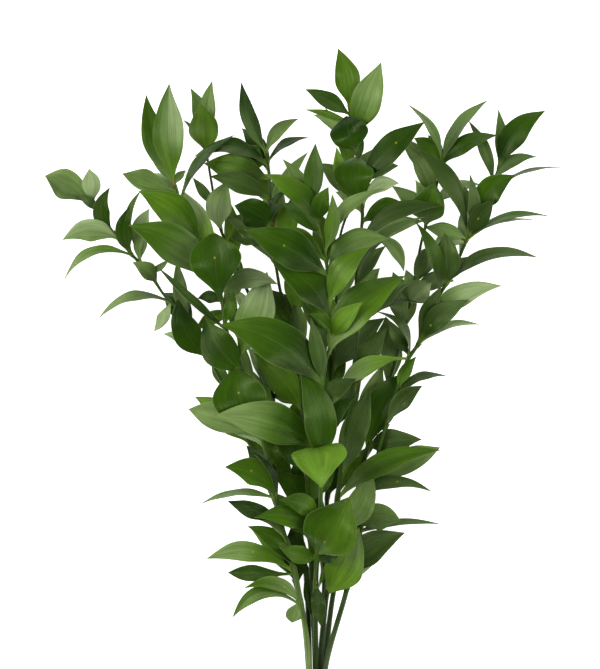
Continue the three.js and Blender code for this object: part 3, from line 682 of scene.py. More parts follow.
def lay_leaf(route, row, habit, shift):
    """All that is known of a leaf, from its row, its habit and one shift."""
    root_height, tip_x, tip_y, rise, width, roll, tone, *unusual = row
    unusual = unusual[0] if unusual else {}
    lift, turn, arching, share = shift
    root = stem_point(route, root_height)
    tip = Vector((tip_x, tip_y, root.z + rise + lift))
    chord = (tip - root) * share
    level = chord.cross(UP).normalized()
    upward = level.cross(chord).normalized()
    angle = math.radians(roll + turn)
    face = upward * math.cos(angle) + level * math.sin(angle)
    usual_arch = chord.length * (FLAT_ARCH + ROLLED_ARCH * abs(math.sin(angle)))
    arch = unusual.get("arch", usual_arch) * arching
    bow = unusual.get("bow", chord.length * USUAL_BOW * level.y)
    fold, twist = habit
    return {
        "root_height": root_height,
        "root": root,
        "chord": chord,
        "across": chord.cross(face).normalized(),
        "bend": face * (arch * FULL_BEND) + level * (bow * FULL_BEND),
        "belly": unusual.get("belly", USUAL_BELLY),
        "sunk": ROOT_DEPTH * stem_radius(route, root_height) / chord.length,
        "half_width": width * share / 2,
        "fold": fold,
        "twist": twist,
        "bud": unusual.get("bud"),
        "tone": tone,
        "parts": {part: unusual[part] for part in LEAF_PARTS if part in unusual},
    }


def leaf_point(leaf, u, aside, rise):
    """A point of the leaf: u along its length, aside and rise in mm from its middle line."""
    middle = leaf["root"] + leaf["chord"] * u + leaf["bend"] * (u * (1 - u))
    heading = (leaf["chord"] + leaf["bend"] * (1 - 2 * u)).normalized()
    lean = leaf["across"].cross(heading).normalized()
    level = heading.cross(lean)
    turn = leaf["twist"] * (u - 0.5)
    side = level * math.cos(turn) + lean * math.sin(turn)
    normal = lean * math.cos(turn) - level * math.sin(turn)
    return middle + side * aside + normal * rise


NO_SHIFT = (0, 0, 1, 1)
sample = lay_leaf(STEMS[0]["route"], STEMS[0]["leaves"][0], (0, 0), NO_SHIFT)
print(f"The first leaf is {sample['chord'].length:.0f} mm long.")

# %% [markdown]
# ## Chance
#
# What isn't written down is left to chance: how deeply a leaf folds, how far it twists, and how a
# far-side leaf lies. Python's own random module could give the numbers, but the fixed model was
# made in another language. So a rule of one line gives both the same numbers, in each run.

# %% Draws
FIRST_SEED = 104729
SEED_FACTOR = 48271
SEED_LIMIT = 2147483647
LEAST_FOLD = 0.1
MORE_FOLD = 0.16
TWIST_RANGE = math.radians(36)


def draws_from(seed):
    """An endless row of numbers between 0 and 1."""
    state = seed
    while True:
        state = state * SEED_FACTOR % SEED_LIMIT
        yield state / SEED_LIMIT


def leaf_habit(draw):
    """How deeply a leaf folds along its midrib, and how far it twists."""
    fold = LEAST_FOLD + MORE_FOLD * next(draw)
    twist = TWIST_RANGE * (next(draw) - 0.5)
    return fold, twist


print(f"The first draw is {next(draws_from(FIRST_SEED)):.4f}.")

# %% The rule of the far side
FAR_SIDE_STEP = 27
SHORTEST = 50
MORE_LENGTH = 20
LEAST_SPREAD = 22
MORE_SPREAD = 26
DEEPEST_DROP = -10
MOST_ROLL = 20
WIDTH_OF_LENGTH = 0.38


def far_side_row(route, height, hand, tone, draw):
    """The row of a leaf on the far side of a stem, to its right (hand 1) or left (hand -1)."""
    heading = stem_heading(route, height)
    start = stem_point(route, height)
    length = SHORTEST + MORE_LENGTH * next(draw)
    spread = hand * (LEAST_SPREAD + MORE_SPREAD * next(draw))
    bearing = math.atan2(heading.x, heading.y) + math.radians(spread)
    tip_x = start.x + length * math.sin(bearing)
    tip_y = height + length * math.cos(bearing)
    drop = DEEPEST_DROP * next(draw)
    roll = hand * MOST_ROLL * next(draw)
    return (height, tip_x, tip_y, drop, length * WIDTH_OF_LENGTH, roll, tone)


print(f"On a far side, the leaves grow {FAR_SIDE_STEP} mm apart.")

# %% [markdown]
# ## Finding each leaf
#
# In the fixed model some leaves were shifted a little to clear their neighbours. The shifts could
# be written down too, but it is surer to look: each leaf is tried in the same order of shifts
# until its tip and one corner of its blade are found among the model's own corners. A k-d tree is
# a list that finds the nearest of many points fast.

# %% The shifts that a leaf may take, from none to the largest
LIFTS = [0, 5, -5, 10, -10, 15, -15, 21, -21, 28, -28, 36, -36, 45]
TURNS = [0, 14, -14, 28, -28, 45, -45]
ARCHINGS = [1, 0.3, 1.8]
SHARES = [1, 0.9, 0.8, 0.65]
LIFT_UNIT = 5
TURN_UNIT = 14
ARCHING_COST = 2
SHORTENING_COST = 20


def shift_cost(shift):
    """How far a shift takes a leaf from its written place."""
    lift, turn, arching, share = shift
    change = abs(lift) / LIFT_UNIT + abs(turn) / TURN_UNIT
    return change + (0 if arching == 1 else ARCHING_COST) + (1 - share) * SHORTENING_COST


shifts = [(a, b, c, d) for a in LIFTS for b in TURNS for c in ARCHINGS for d in SHARES]
shifts.sort(key=shift_cost)
print(len(shifts), "shifts may be tried.")

# %% Looking for one leaf
CORNER_FROM_WIDTH = 18
CORNER_BROAD = 0.48
CORNER_SLIM = 0.36
BLADE_THICKNESS = 0.7
FOUND_WITHIN = 0.03


def corners_of(node):
    """A fast finder of the fixed model's corners, in millimetres."""
    vertices = node.data.vertices
    finder = kdtree.KDTree(len(vertices))
    for vertex in vertices:
        finder.insert(vertex.co / MM, vertex.index)
    finder.balance()
    return finder


def find_leaf(finder, route, row, habit):
    """The leaf as it lies in the fixed model."""
    for shift in shifts:
        leaf = lay_leaf(route, row, habit, shift)
        if finder.find(leaf["root"] + leaf["chord"])[2] > FOUND_WITHIN:
            continue
        is_slim = 2 * leaf["half_width"] < CORNER_FROM_WIDTH
        u = CORNER_SLIM if is_slim else CORNER_BROAD
        aside = max(leaf["half_width"] * leaf_outline(u, leaf["belly"]), STALK_HALF_WIDTH)
        for hand, half in ((1, 0.5), (1, -0.5), (-1, 0.5), (-1, -0.5)):
            rise = aside * leaf["fold"] + BLADE_THICKNESS * half
            if finder.find(leaf_point(leaf, u, hand * aside, rise))[2] < FOUND_WITHIN:
                return leaf
    raise ValueError(f"the fixed model has no leaf like {row}")


print(f"A corner within {FOUND_WITHIN} mm counts as found.")

# %% All the leaves of each stem
laid_leaves = {}
for number, stem in enumerate(STEMS, start=1):
    name = stem["name"]
    route = stem["route"]
    draw = draws_from(FIRST_SEED * number)
    rows = [(row, leaf_habit(draw)) for row in stem["leaves"]]
    for far_stem, lowest, tones in FAR_SIDE_LEAVES:
        if far_stem != name:
            continue
        for count, tone in enumerate(tones.split()):
            hand = -1 if count % 2 else 1
            row = far_side_row(route, lowest + FAR_SIDE_STEP * count, hand, tone, draw)
            rows.append((row, leaf_habit(draw)))
    finder = corners_of(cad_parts[name])
    laid_leaves[name] = []
    for row, habit in rows:
        laid_leaves[name].append(find_leaf(finder, route, row, habit))
        laid_leaves[name][-1]["own_number"] = next(draw)
    for inner_stem, *row in INNER_LEAVES:
        if inner_stem != name:
            continue
        laid_leaves[name].append(lay_leaf(route, row, leaf_habit(draw), NO_SHIFT))
        laid_leaves[name][-1]["own_number"] = next(draw)
    print(name, "has", len(laid_leaves[name]), "leaves.")

# %% [markdown]
# ## Greens
#
# One green for all leaves would look like plastic. A leaf's green is partly its own and partly
# painted light and shade: lime and bright greens for leaves that lie on top in the light, deep and
# dark greens as painted shade for leaves under others, and greyer and paler greens as a painted
# sheen where a leaf leans towards a lamp. The sheen often lies on one half of a blade only, or at
# its tip, and the foot of a leaf often lies in painted shade, so a part of a leaf may have its own
# green, which eases into the rest. A stem has one green at its cut end and another where its
# leaves are, and both have painted light and shade in them.
#
# Each blade and stem carries its greens as a colour attribute, so one material serves all of them.
# A material for each green would do too, but one leaf couldn't go from one green to the next.

# %% Tones
# leaf greens with painted light and shade in them: lime down to dark for leaves from full light to
# painted shade, and grey up to the palest for a painted sheen
TONES = {
    "lime": (0.092, 0.185, 0.015),
    "bright": (0.055, 0.120, 0.006),
    "fresh": (0.035, 0.087, 0.003),
    "green": (0.023, 0.062, 0.002),
    "deep": (0.0145, 0.043, 0.0018),
    "dark": (0.006, 0.023, 0.0012),
    "shade": (0.022, 0.045, 0.007),
    "grey": (0.032, 0.063, 0.011),
    "sage": (0.054, 0.093, 0.025),
    "silver": (0.087, 0.148, 0.034),
    "pale": (0.130, 0.203, 0.057),
    # the palest green is a painted sheen
    "frosted": (0.230, 0.310, 0.135),
}
STEM_TONES = {
    # the green at the cut end, and the green of the leafy part, with painted light and shade in
    # both: lighter for a stem that lies in the light, darker for one in the shade of leaves and
    # other stems, and the front stem's cut end, the "shaded" skin, painted shade
    "light": ((0.130, 0.195, 0.052), (0.032, 0.074, 0.008)),
    "shaded": ((0.014, 0.026, 0.006), (0.042, 0.092, 0.012)),
    "mid": ((0.045, 0.074, 0.028), (0.026, 0.058, 0.007)),
    "dark": ((0.018, 0.034, 0.009), (0.022, 0.046, 0.006)),
}
print(len(TONES), "tones of green for leaves,", len(STEM_TONES), "for stems.")

# %% The green of a place on a blade
# the greens that a leaf's halves, tip and foot may have of their own paint sheen on some leaves and
# shade on others
CENTRE_SHARE = 0.5
ACROSS_SHARE = 0.35
HALF_SHARE = 0.15
END_ZONES = [
    # part, where its green starts along the leaf, and where it is full
    ("tip", 0.35, 0.8),
    ("foot", 0.6, 0.2),
]


def blade_tone(leaf, u, v, is_left):
    """The green of a place on the blade, by its half and by how near it is to the tip or foot."""
    parts = leaf["parts"]
    left = Vector(TONES[parts.get("left", leaf["tone"])])
    right = Vector(TONES[parts.get("right", leaf["tone"])])
    rightness = CENTRE_SHARE + ACROSS_SHARE * v + (-HALF_SHARE if is_left else HALF_SHARE)
    colour = left.lerp(right, rightness)
    for part, start, full in END_ZONES:
        if part in parts:
            share = clamp((u - start) / (full - start))
            colour = colour.lerp(Vector(TONES[parts[part]]), share * share * (3 - 2 * share))
    return colour


two_greens = sum(len(leaf["parts"]) > 0 for leaves in laid_leaves.values() for leaf in leaves)
print(two_greens, "leaves have more than one green.")

# %% [markdown]
# ## A leaf blade
#
# A blade starts as a flat grid of a few dozen faces, and each of its points is moved to its place
# on the leaf. The far edge of the grid shrinks to one point and becomes the tip. The blade could
# also be cut out of a plane with a picture of a leaf, but a real edge catches the light, and shows
# from the side.

# %% The height and the edge of a blade
FOLD_ROUNDING = 0.15
EDGE_BEND = 0.7
WAVE_SHARE = 0.12
FEWEST_WAVES = 1.5
MORE_WAVES = 1.5
WAVE_SLANT = 0.2
RUFFLE_SHARE = 0.05
RUFFLES = 2.3
RUFFLE_START = 7
RUFFLE_SLANT = 0.3


def fold_height(v):
    """How far the fold lifts the blade at v: a rounded trough whose edges bend back out."""
    flat = FOLD_ROUNDING
    valley = (math.hypot(v, flat) - flat) / (math.hypot(1.0, flat) - flat)
    return valley + EDGE_BEND * abs(v) * (1 - v * v)


def blade_point(leaf, u, v):
    """A place on the blade and its distance from the midrib, with the waves of its edges."""
    own = leaf["own_number"]
    aside = leaf["half_width"] * leaf_outline(u, leaf["belly"])
    if u < leaf["belly"]:
        aside = max(aside, STALK_HALF_WIDTH)
    waves = FEWEST_WAVES + MORE_WAVES * own
    wave = WAVE_SHARE * math.sin(math.tau * (waves * u + own + WAVE_SLANT * v))
    ruffle = math.sin(math.tau * (RUFFLES * u + RUFFLE_START * own + RUFFLE_SLANT * v))
    aside *= 1 + RUFFLE_SHARE * ruffle
    rise = aside * (leaf["fold"] * fold_height(v) + wave * v * v)
    return leaf_point(leaf, u, aside * v, rise), aside * v


print(f"Halfway to its edge, a blade has {fold_height(0.5):.0%} of its full fold.")

# %% One blade
BLADE_STEPS = 10
BLADE_STRIPS = 4
CLOSER_TO_TIP = 0.9
STALK_END = 0.04
THINNING_LENGTH = 0.12
THINNED_BY = 0.7
TIP_FROM = 0.9999
BUD_AT = 1.0  # both numbers of a bud's place on the bud map, which counts in millimetres
NO_BUD = (50.0, 50.0)
MERGE_WITHIN = 0.01


def add_blade(bm, leaf):
    """Adds one leaf to the mesh."""
    layer = bm.loops.layers.uv["leaf"]
    bud_layer = bm.loops.layers.uv["bud"]
    tone_layer = bm.loops.layers.float_color["tone"]
    stoutness = bm.verts.layers.deform.active
    crease = bm.verts.layers.float["crease_vert"]
    length = leaf["chord"].length
    sheet = bmesh.ops.create_grid(bm, x_segments=BLADE_STEPS, y_segments=BLADE_STRIPS, size=1.0)
    places = {}
    for vert in sheet["verts"]:
        t = (vert.co.x + 1) / 2
        u = -leaf["sunk"] + (1 + leaf["sunk"]) * t**CLOSER_TO_TIP
        v = vert.co.y
        places[vert] = (u, v, *blade_point(leaf, u, v))
        vert[stoutness][0] = 1 - THINNED_BY * clamp((u - STALK_END) / THINNING_LENGTH)
    for face in {face for vert in sheet["verts"] for face in vert.link_faces}:
        is_left = sum(places[loop.vert][1] for loop in face.loops) < 0
        for loop in face.loops:
            u, v, _, from_midrib = places[loop.vert]
            loop[layer].uv = (u, (v + 1) / 2)
            loop[bud_layer].uv = NO_BUD
            if leaf["bud"]:
                loop[bud_layer].uv = (BUD_AT + (u - leaf["bud"]) * length, BUD_AT + from_midrib)
            loop[tone_layer] = (*blade_tone(leaf, u, v, is_left), leaf["own_number"])
    for vert, (u, _, place, _) in places.items():
        vert.co = place
        # the crease keeps the tip sharp under Subdivision Surface
        vert[crease] = 1.0 if u > TIP_FROM else 0.0
    bmesh.ops.remove_doubles(bm, verts=sheet["verts"], dist=MERGE_WITHIN)


print(f"A blade starts with {BLADE_STEPS * BLADE_STRIPS} faces.")

# %% [markdown]
# ## The leaves of a stem
#
# All the leaves of a stem are one piece. Subdivision Surface rounds them off, and Solidify gives
# them their thickness: a stout stalk and a thin blade, by a vertex group. Weighted Normal keeps
# the thin edges from darkening the blades. All this could be done in the mesh of each leaf, but as
# modifiers they do it once for all the leaves.

# %% Leaf piece
STALK_THICKNESS = 1.5
LARGE_FACE_WEIGHT = 90


def new_piece(name, bm, material):
    """A finished mesh in millimetres as a piece at the origin, in metres."""
    bmesh.ops.scale(bm, vec=(MM, MM, MM), verts=bm.verts)
    mesh = bpy.data.meshes.new(name)
    bm.to_mesh(mesh)
    bm.free()
    mesh.materials.append(material)
    return place_object(name, mesh)


def leaf_object(name, leaves, material):
    """All the leaves of a stem as one piece."""
    bm = bmesh.new()
    bm.loops.layers.uv.new("leaf")
    bm.loops.layers.uv.new("bud")
    bm.loops.layers.float_color.new("tone")
    bm.verts.layers.deform.new()
    bm.verts.layers.float.new("crease_vert")
    for leaf in leaves:
        add_blade(bm, leaf)
    for face in bm.faces:
        face.smooth = True
    piece = new_piece(name, bm, material)
    piece.vertex_groups.new(name="stoutness")
    rounding = piece.modifiers.new("rounding", "SUBSURF")
    rounding.levels = 1
    rounding.render_levels = 1
    thickness = piece.modifiers.new("thickness", "SOLIDIFY")
    thickness.thickness = STALK_THICKNESS * MM
    thickness.offset = 0.0
    thickness.vertex_group = "stoutness"
    evening = piece.modifiers.new("evening", "WEIGHTED_NORMAL")
    evening.weight = LARGE_FACE_WEIGHT
    return piece


print(f"A stalk is {STALK_THICKNESS} mm thick.")

# %% [markdown]
# ## A ribbed stem
#
# A ruscus stem is grooved along its length, swells a little where a leaf grows, and bears a small
# dry scale there. A grid is rolled into a tube round the stem's middle line, and every second row
# of its points lies lower, which gives the grooves. A curve with a round bevel would be quicker,
# but it has neither grooves nor swellings. A scale is a flattened cone.

# %% Scale under a leaf
BRACT_LENGTH = 5.5
BRACT_WIDTH = 2.6
BRACT_SIDES = 6
BRACT_TIP_RADIUS = 0.1
BRACT_FLATNESS = 0.5
BRACT_LEAN = 0.35
BRACT_OUTWARD = 0.9
BRACT_RAISED = 0.3
BRACT_MARK = 2.0  # where a scale lies on the map of its stem, which runs from 0 to 1


def add_bract(bm, route, leaf):
    """Adds the small dry scale that sits under a leaf's stalk."""
    height = leaf["root_height"]
    heading = stem_heading(route, height)
    outward = leaf["chord"] - heading * leaf["chord"].dot(heading)
    outward.normalize()
    lean = (heading + outward * BRACT_LEAN).normalized()
    foot = stem_point(route, height) + outward * stem_radius(route, height) * BRACT_OUTWARD
    turn = lean.to_track_quat("Z", "Y").to_matrix().to_4x4()
    flat = Matrix.Diagonal((1.0, BRACT_FLATNESS, 1.0, 1.0))
    scale = bmesh.ops.create_cone(
        bm,
        cap_ends=True,
        segments=BRACT_SIDES,
        radius1=BRACT_WIDTH / 2,
        radius2=BRACT_TIP_RADIUS,
        depth=BRACT_LENGTH,
        matrix=Matrix.Translation(foot + lean * BRACT_LENGTH * BRACT_RAISED) @ turn @ flat,
    )
    for face in {face for vert in scale["verts"] for face in vert.link_faces}:
        for loop in face.loops:
            loop[bm.loops.layers.uv["leaf"]].uv = (BRACT_MARK, 0.5)


print(f"A scale is {BRACT_LENGTH} mm long.")

# %% Stem tube
STEM_STEP = 4.0
STEM_STRIPS = 12
GROOVE_SHARE = 0.07
NODE_SWELLING = 0.22
NODE_REACH = 3.0


def add_stem(bm, route, node_heights):
    """Rolls a grid into a ribbed, tapering stem that swells a little at each leaf."""
    layer = bm.loops.layers.uv["leaf"]
    foot = route[0][1]
    top = route[-1][1]
    steps = round((top - foot) / STEM_STEP)
    sheet = bmesh.ops.create_grid(bm, x_segments=steps, y_segments=STEM_STRIPS, size=1.0)
    places = {}
    for vert in sheet["verts"]:
        u = (vert.co.x + 1) / 2
        v = (vert.co.y + 1) / 2
        height = foot + (top - foot) * u
        in_groove = round(v * STEM_STRIPS) % 2
        swelling = sum(math.exp(-(((height - at) / NODE_REACH) ** 2)) for at in node_heights)
        radius = stem_radius(route, height)
        radius *= 1 + NODE_SWELLING * min(swelling, 1.0) - (GROOVE_SHARE if in_groove else 0.0)
        heading = stem_heading(route, height)
        side = heading.cross(UP).normalized()
        upward = side.cross(heading)
        outward = side * math.cos(math.tau * v) + upward * math.sin(math.tau * v)
        places[vert] = (u, v, stem_point(route, height) + outward * radius)
    for face in {face for vert in sheet["verts"] for face in vert.link_faces}:
        for loop in face.loops:
            loop[layer].uv = places[loop.vert][:2]
    for vert, (_, _, place) in places.items():
        vert.co = place
    bmesh.ops.remove_doubles(bm, verts=sheet["verts"], dist=MERGE_WITHIN)
    bmesh.ops.holes_fill(bm, edges=bm.edges, sides=0)


print(f"A stem has {STEM_STRIPS // 2} ribs.")

# %% Stem piece
# the cut-end green, with its painted light and shade, reaches this far up a stem
CUT_END_SHARE = 0.15
GREENING_SHARE = 0.2


def stem_object(name, stem, leaves, material):
    """The bare stem as one piece."""
    bm = bmesh.new()
    map_layer = bm.loops.layers.uv.new("leaf")
    tone_layer = bm.loops.layers.float_color.new("tone")
    add_stem(bm, stem["route"], [leaf["root_height"] for leaf in leaves])
    for leaf in leaves:
        add_bract(bm, stem["route"], leaf)
    # both greens carry painted light and shade; the front stem's cut end is painted shade
    cut_end_green, leafy = (Vector(tone) for tone in STEM_TONES[stem["skin"]])
    for face in bm.faces:
        face.smooth = len(face.verts) == 4
        for loop in face.loops:
            share = clamp((loop[map_layer].uv.x - CUT_END_SHARE) / GREENING_SHARE)
            loop[tone_layer] = (*cut_end_green.lerp(leafy, share), 1.0)
    bmesh.ops.recalc_face_normals(bm, faces=bm.faces)
    return new_piece(name, bm, material)


print(f"The lowest {CUT_END_SHARE:.0%} of a stem is woody.")

# %% [markdown]
# ## Fibres
#
# Leaves and stems are both built of fibres that run along them. A noise texture that is stretched
# far along the growth and squeezed across it gives uneven streaks like these. A wave texture would
# give stripes that are too regular. Both materials use it, so it is a node group of its own, and
# each leaf reads another depth of the noise by its own number.

# %% Fibre group
OWN_DEPTHS = 60.0
FIBRE_DETAIL = 3.0
FIBRE_ROUGHNESS = 0.6
DARKEST_FIBRE = 0.25
LIGHTEST_FIBRE = 0.75


def ramp(tree, value, low, high, start=0.0, end=1.0):
    """A value that eases from start to end while its input goes from low to high."""
    node = new_node(tree, "ShaderNodeMapRange", interpolation_type="SMOOTHSTEP")
    set_inputs(node, {"From Min": low, "From Max": high, "To Min": start, "To Max": end})
    feed(tree, node.inputs["Value"], value)
    return node.outputs["Result"]


def reckon(tree, kind, first, second=0.0):
    """One step of arithmetic on two values, each a socket or a number."""
    node = new_node(tree, "ShaderNodeMath", operation=kind)
    feed(tree, node.inputs[0], first)
    feed(tree, node.inputs[1], second)
    return node.outputs[0]


def noise(tree, place, scale, detail, roughness):
    """The value of a noise texture at a place."""
    node = new_node(tree, "ShaderNodeTexNoise")
    set_inputs(node, {"Scale": scale, "Detail": detail, "Roughness": roughness})
    feed(tree, node.inputs["Vector"], place)
    return node.outputs["Fac"]


fibres = bpy.data.node_groups.new("fibres", "ShaderNodeTree")
for name in ("Along", "Across", "Own Number"):
    fibres.interface.new_socket(name, in_out="INPUT", socket_type="NodeSocketFloat")
fibres.interface.new_socket("Streaks", in_out="OUTPUT", socket_type="NodeSocketFloat")
group_in = new_node(fibres, "NodeGroupInput")
group_out = new_node(fibres, "NodeGroupOutput")
place = new_node(fibres, "ShaderNodeCombineXYZ")
feed(fibres, place.inputs["X"], group_in.outputs["Along"])
feed(fibres, place.inputs["Y"], group_in.outputs["Across"])
own_depth = reckon(fibres, "MULTIPLY", group_in.outputs["Own Number"], OWN_DEPTHS)
feed(fibres, place.inputs["Z"], own_depth)
fibre_noise = noise(fibres, place.outputs["Vector"], 1.0, FIBRE_DETAIL, FIBRE_ROUGHNESS)
streaks = ramp(fibres, fibre_noise, DARKEST_FIBRE, LIGHTEST_FIBRE)
feed(fibres, group_out.inputs["Streaks"], streaks)


def add_fibres(tree, place, counts, own_number):
    """Streaks along a piece: counts gives how fast they change along it and across it."""
    node = new_node(tree, "ShaderNodeGroup", node_tree=fibres)
    for name, value, count in zip(("Along", "Across"), place, counts):
        feed(tree, node.inputs[name], reckon(tree, "MULTIPLY", value, count))
    feed(tree, node.inputs["Own Number"], own_number)
    return node.outputs["Streaks"]


taken = [socket.name for socket in group_in.outputs if socket.name]
print("The fibre group takes", ", ".join(taken))

# %% [markdown]
# ## Leaf finish
#
# A ruscus leaf is leathery, with a satin wax on it. Fine veins run from its stalk to its tip
# between broader bands, painted lighter and darker as streaks of sheen, and the wax is smoother on
# the lighter bands.
# Its midrib and its very edge are paler, and the tip ends in a small dry spine. All of this
# follows the leaf's own map, whose first number runs along the leaf and whose second runs across
# it. A painted picture on that map would do for one leaf, but all the leaves would share its
# marks. Faint clouds of light and dark lie over the whole bunch.

# %% Helpers for a finish
WAX_TINT = (0.8, 1.0, 0.45, 1.0)


def own_map(tree, name):
    """The two numbers of a piece's map: along it and across it."""
    source = new_node(tree, "ShaderNodeUVMap", uv_map=name)
    parts = new_node(tree, "ShaderNodeSeparateXYZ")
    feed(tree, parts.inputs["Vector"], source.outputs["UV"])
    return parts.outputs["X"], parts.outputs["Y"]


def blend_colours(tree, kind, share, first, second):
    """Two colours blended by a share, each of the three a socket or a value."""
    node = new_node(tree, "ShaderNodeMix", data_type="RGBA", blend_type=kind)
    for name, value in (("Factor_Float", share), ("A_Color", first), ("B_Color", second)):
        feed(tree, next(s for s in node.inputs if s.identifier == name), value)
    return next(s for s in node.outputs if s.identifier == "Result_Color")


def shaded(tree, colour, light):
    """A colour made darker or lighter by a value near 1."""
    grey = new_node(tree, "ShaderNodeCombineXYZ")
    for axis in "XYZ":
        feed(tree, grey.inputs[axis], light)
    return blend_colours(tree, "MULTIPLY", 1.0, colour, grey.outputs["Vector"])


def add_relief(tree, shader, height, strength, depth):
    """Raises the surface a little where a value is high."""
    bump = new_node(tree, "ShaderNodeBump")
    set_inputs(bump, {"Strength": strength, "Distance": depth * MM})
    feed(tree, bump.inputs["Height"], height)
    feed(tree, shader.inputs["Normal"], bump.outputs["Normal"])


print("The wax is tinted", WAX_TINT[:3])

# %% Veins, bands and clouds of a leaf
VEIN_COUNTS = (2.5, 44.0)
BAND_COUNTS = (1.1, 6.0)
CLOUD_SCALE = 60.0
CLOUD_DETAIL = 2.0
CLOUD_ROUGHNESS = 0.5
VEIN_LIGHT = (0.88, 1.13)
# the lighter and darker bands along a leaf are a painted sheen
BAND_PAINTED_SHEEN = (0.83, 1.19)
CLOUD_LIGHT = (0.93, 1.08)
DARKEST_CLOUD = 0.3
LIGHTEST_CLOUD = 0.7

leaf_material, tree, leaf_shader = new_material("leaf")
tone = new_node(tree, "ShaderNodeAttribute", attribute_name="tone")
along, across = own_map(tree, "leaf")
veins = add_fibres(tree, (along, across), VEIN_COUNTS, tone.outputs["Alpha"])
bands = add_fibres(tree, (along, across), BAND_COUNTS, tone.outputs["Alpha"])
body = new_node(tree, "ShaderNodeTexCoord")
clouds = noise(tree, body.outputs["Object"], CLOUD_SCALE, CLOUD_DETAIL, CLOUD_ROUGHNESS)
vein_light = ramp(tree, veins, 0.0, 1.0, *VEIN_LIGHT)
# painted sheen: streaks of lighter and darker green along the leaf
painted_sheen_bands = ramp(tree, bands, 0.0, 1.0, *BAND_PAINTED_SHEEN)
cloud_light = ramp(tree, clouds, DARKEST_CLOUD, LIGHTEST_CLOUD, *CLOUD_LIGHT)
light = reckon(tree, "MULTIPLY", reckon(tree, "MULTIPLY", vein_light, cloud_light), painted_sheen_bands)
colour = shaded(tree, tone.outputs["Color"], light)
print(f"A leaf has about {VEIN_COUNTS[1]:.0f} veins and {BAND_COUNTS[1]:.0f} bands.")

# %% Midrib, rim, stalk, bud scar and spine of a leaf
STALK_GREEN = (0.12, 0.20, 0.03, 1.0)
RIM_GREEN = (0.16, 0.24, 0.07, 1.0)
SPINE_BROWN = (0.16, 0.08, 0.02, 1.0)
BUD_YELLOW = (0.28, 0.23, 0.03, 1.0)
MIDRIB_WIDTH = 0.05
MIDRIB_PALENESS = 0.10
MIDRIB_FADES_FROM = 0.5
MIDRIB_AT_TIP = 0.3

from_middle = reckon(tree, "SUBTRACT", across, 0.5)
to_edge = reckon(tree, "MULTIPLY", reckon(tree, "ABSOLUTE", from_middle), 2.0)
bud_map = new_node(tree, "ShaderNodeUVMap", uv_map="bud")
to_bud = new_node(tree, "ShaderNodeVectorMath", operation="DISTANCE")
feed(tree, to_bud.inputs[0], bud_map.outputs["UV"])
feed(tree, to_bud.inputs[1], (BUD_AT, BUD_AT, 0.0))
midrib = ramp(tree, to_edge, 0.0, MIDRIB_WIDTH, MIDRIB_PALENESS, 0.0)
fading = ramp(tree, along, MIDRIB_FADES_FROM, 1.0, 1.0, MIDRIB_AT_TIP)
midrib = reckon(tree, "MULTIPLY", midrib, fading)
colour = blend_colours(tree, "MIX", midrib, colour, RIM_GREEN)
DETAILS = [
    # what is measured, from where to where, how much shows at either, and the colour
    (to_edge, 0.95, 1.0, 0.0, 0.35, RIM_GREEN),
    (along, 0.04, 0.16, 0.5, 0.0, STALK_GREEN),
    (to_bud.outputs["Value"], 0.4, 1.3, 0.8, 0.0, BUD_YELLOW),
    (along, 0.975, 0.99, 0.0, 0.9, SPINE_BROWN),
]
for measure, low, high, start, end, detail_colour in DETAILS:
    share = ramp(tree, measure, low, high, start, end)
    colour = blend_colours(tree, "MIX", share, colour, detail_colour)
feed(tree, leaf_shader.inputs["Base Color"], colour)
print(len(DETAILS) + 1, "details are laid over the green.")

# %% Wax and relief of a leaf
DULL_WAX = 0.38
SMOOTH_WAX = 0.24
LEAF_GLOSS = 0.26
VEIN_STRENGTH = 0.5
VEIN_DEPTH = 0.2

feed(tree, leaf_shader.inputs["Roughness"], ramp(tree, bands, 0.0, 1.0, DULL_WAX, SMOOTH_WAX))
set_inputs(leaf_shader, {"Specular IOR Level": LEAF_GLOSS, "Specular Tint": WAX_TINT})
add_relief(tree, leaf_shader, veins, VEIN_STRENGTH, VEIN_DEPTH)
print(f"The wax's roughness goes from {SMOOTH_WAX} to {DULL_WAX}.")

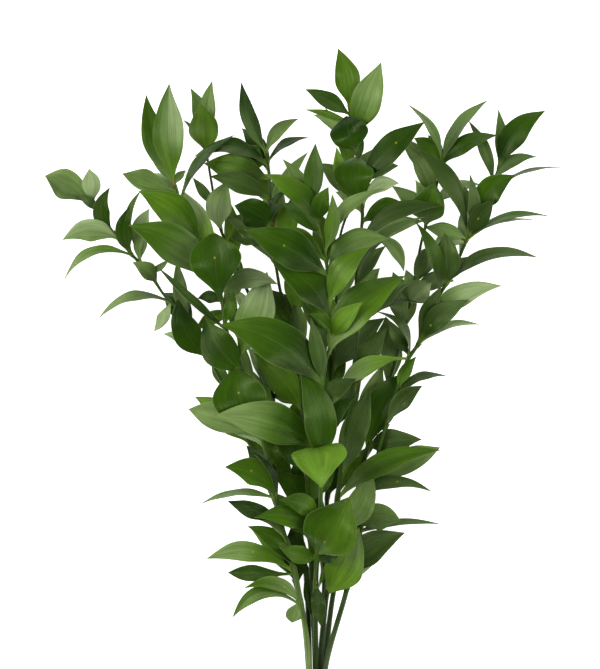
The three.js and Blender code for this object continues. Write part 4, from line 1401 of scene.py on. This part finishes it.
# %% [markdown]
# ## Stem finish
#
# A stem has the same fibres as a leaf, but they stand out more, and its wax is as dull as the
# dullest of a leaf's. The dry scales are brown. They could have a material of their own, but their
# place on the stem's map lies past its end, and that is enough to tell them apart.

# %% Stem material
BRACT_BROWN = (0.24, 0.15, 0.045, 1.0)
BRACT_BROWNNESS = 0.8
BRACT_FROM = 1.2
BRACT_FULL = 1.8
STRAND_COUNTS = (14.0, 22.0)
STRAND_NUMBER = 0.3
STRAND_LIGHT = (0.60, 1.35)
STEM_GLOSS = 0.22
STRAND_STRENGTH = 0.6
STRAND_DEPTH = 0.3

stem_material, tree, stem_shader = new_material("stem")
along, across = own_map(tree, "leaf")
strands = add_fibres(tree, (along, across), STRAND_COUNTS, STRAND_NUMBER)
skin = new_node(tree, "ShaderNodeAttribute", attribute_name="tone")
colour = shaded(tree, skin.outputs["Color"], ramp(tree, strands, 0.0, 1.0, *STRAND_LIGHT))
is_bract = ramp(tree, along, BRACT_FROM, BRACT_FULL, 0.0, BRACT_BROWNNESS)
colour = blend_colours(tree, "MIX", is_bract, colour, BRACT_BROWN)
feed(tree, stem_shader.inputs["Base Color"], colour)
set_inputs(stem_shader, {
    "Roughness": DULL_WAX,
    "Specular IOR Level": STEM_GLOSS,
    "Specular Tint": WAX_TINT,
})
add_relief(tree, stem_shader, strands, STRAND_STRENGTH, STRAND_DEPTH)
print("Materials:", ", ".join(material.name for material in bpy.data.materials))

# %% [markdown]
# ## Dressing the model
#
# Each solid of the fixed model gives way to two pieces, the leaves and the bare stem. They are
# apart because their finishes are. One piece with two materials would look the same, but then the
# leaves' modifiers would round and thicken the stem too.

# %% Leaves and stems in place of the solids
for stem in STEMS:
    name = stem["name"]
    leaves = laid_leaves[name]
    blades = leaf_object(name + "_leaves", leaves, leaf_material)
    bare_stem = stem_object(name + "_bare", stem, leaves, stem_material)
    for piece, slot in ((blades, "leaf"), (bare_stem, "stem")):
        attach(piece, "root")
        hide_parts(name)
    print(name, "is dressed.")
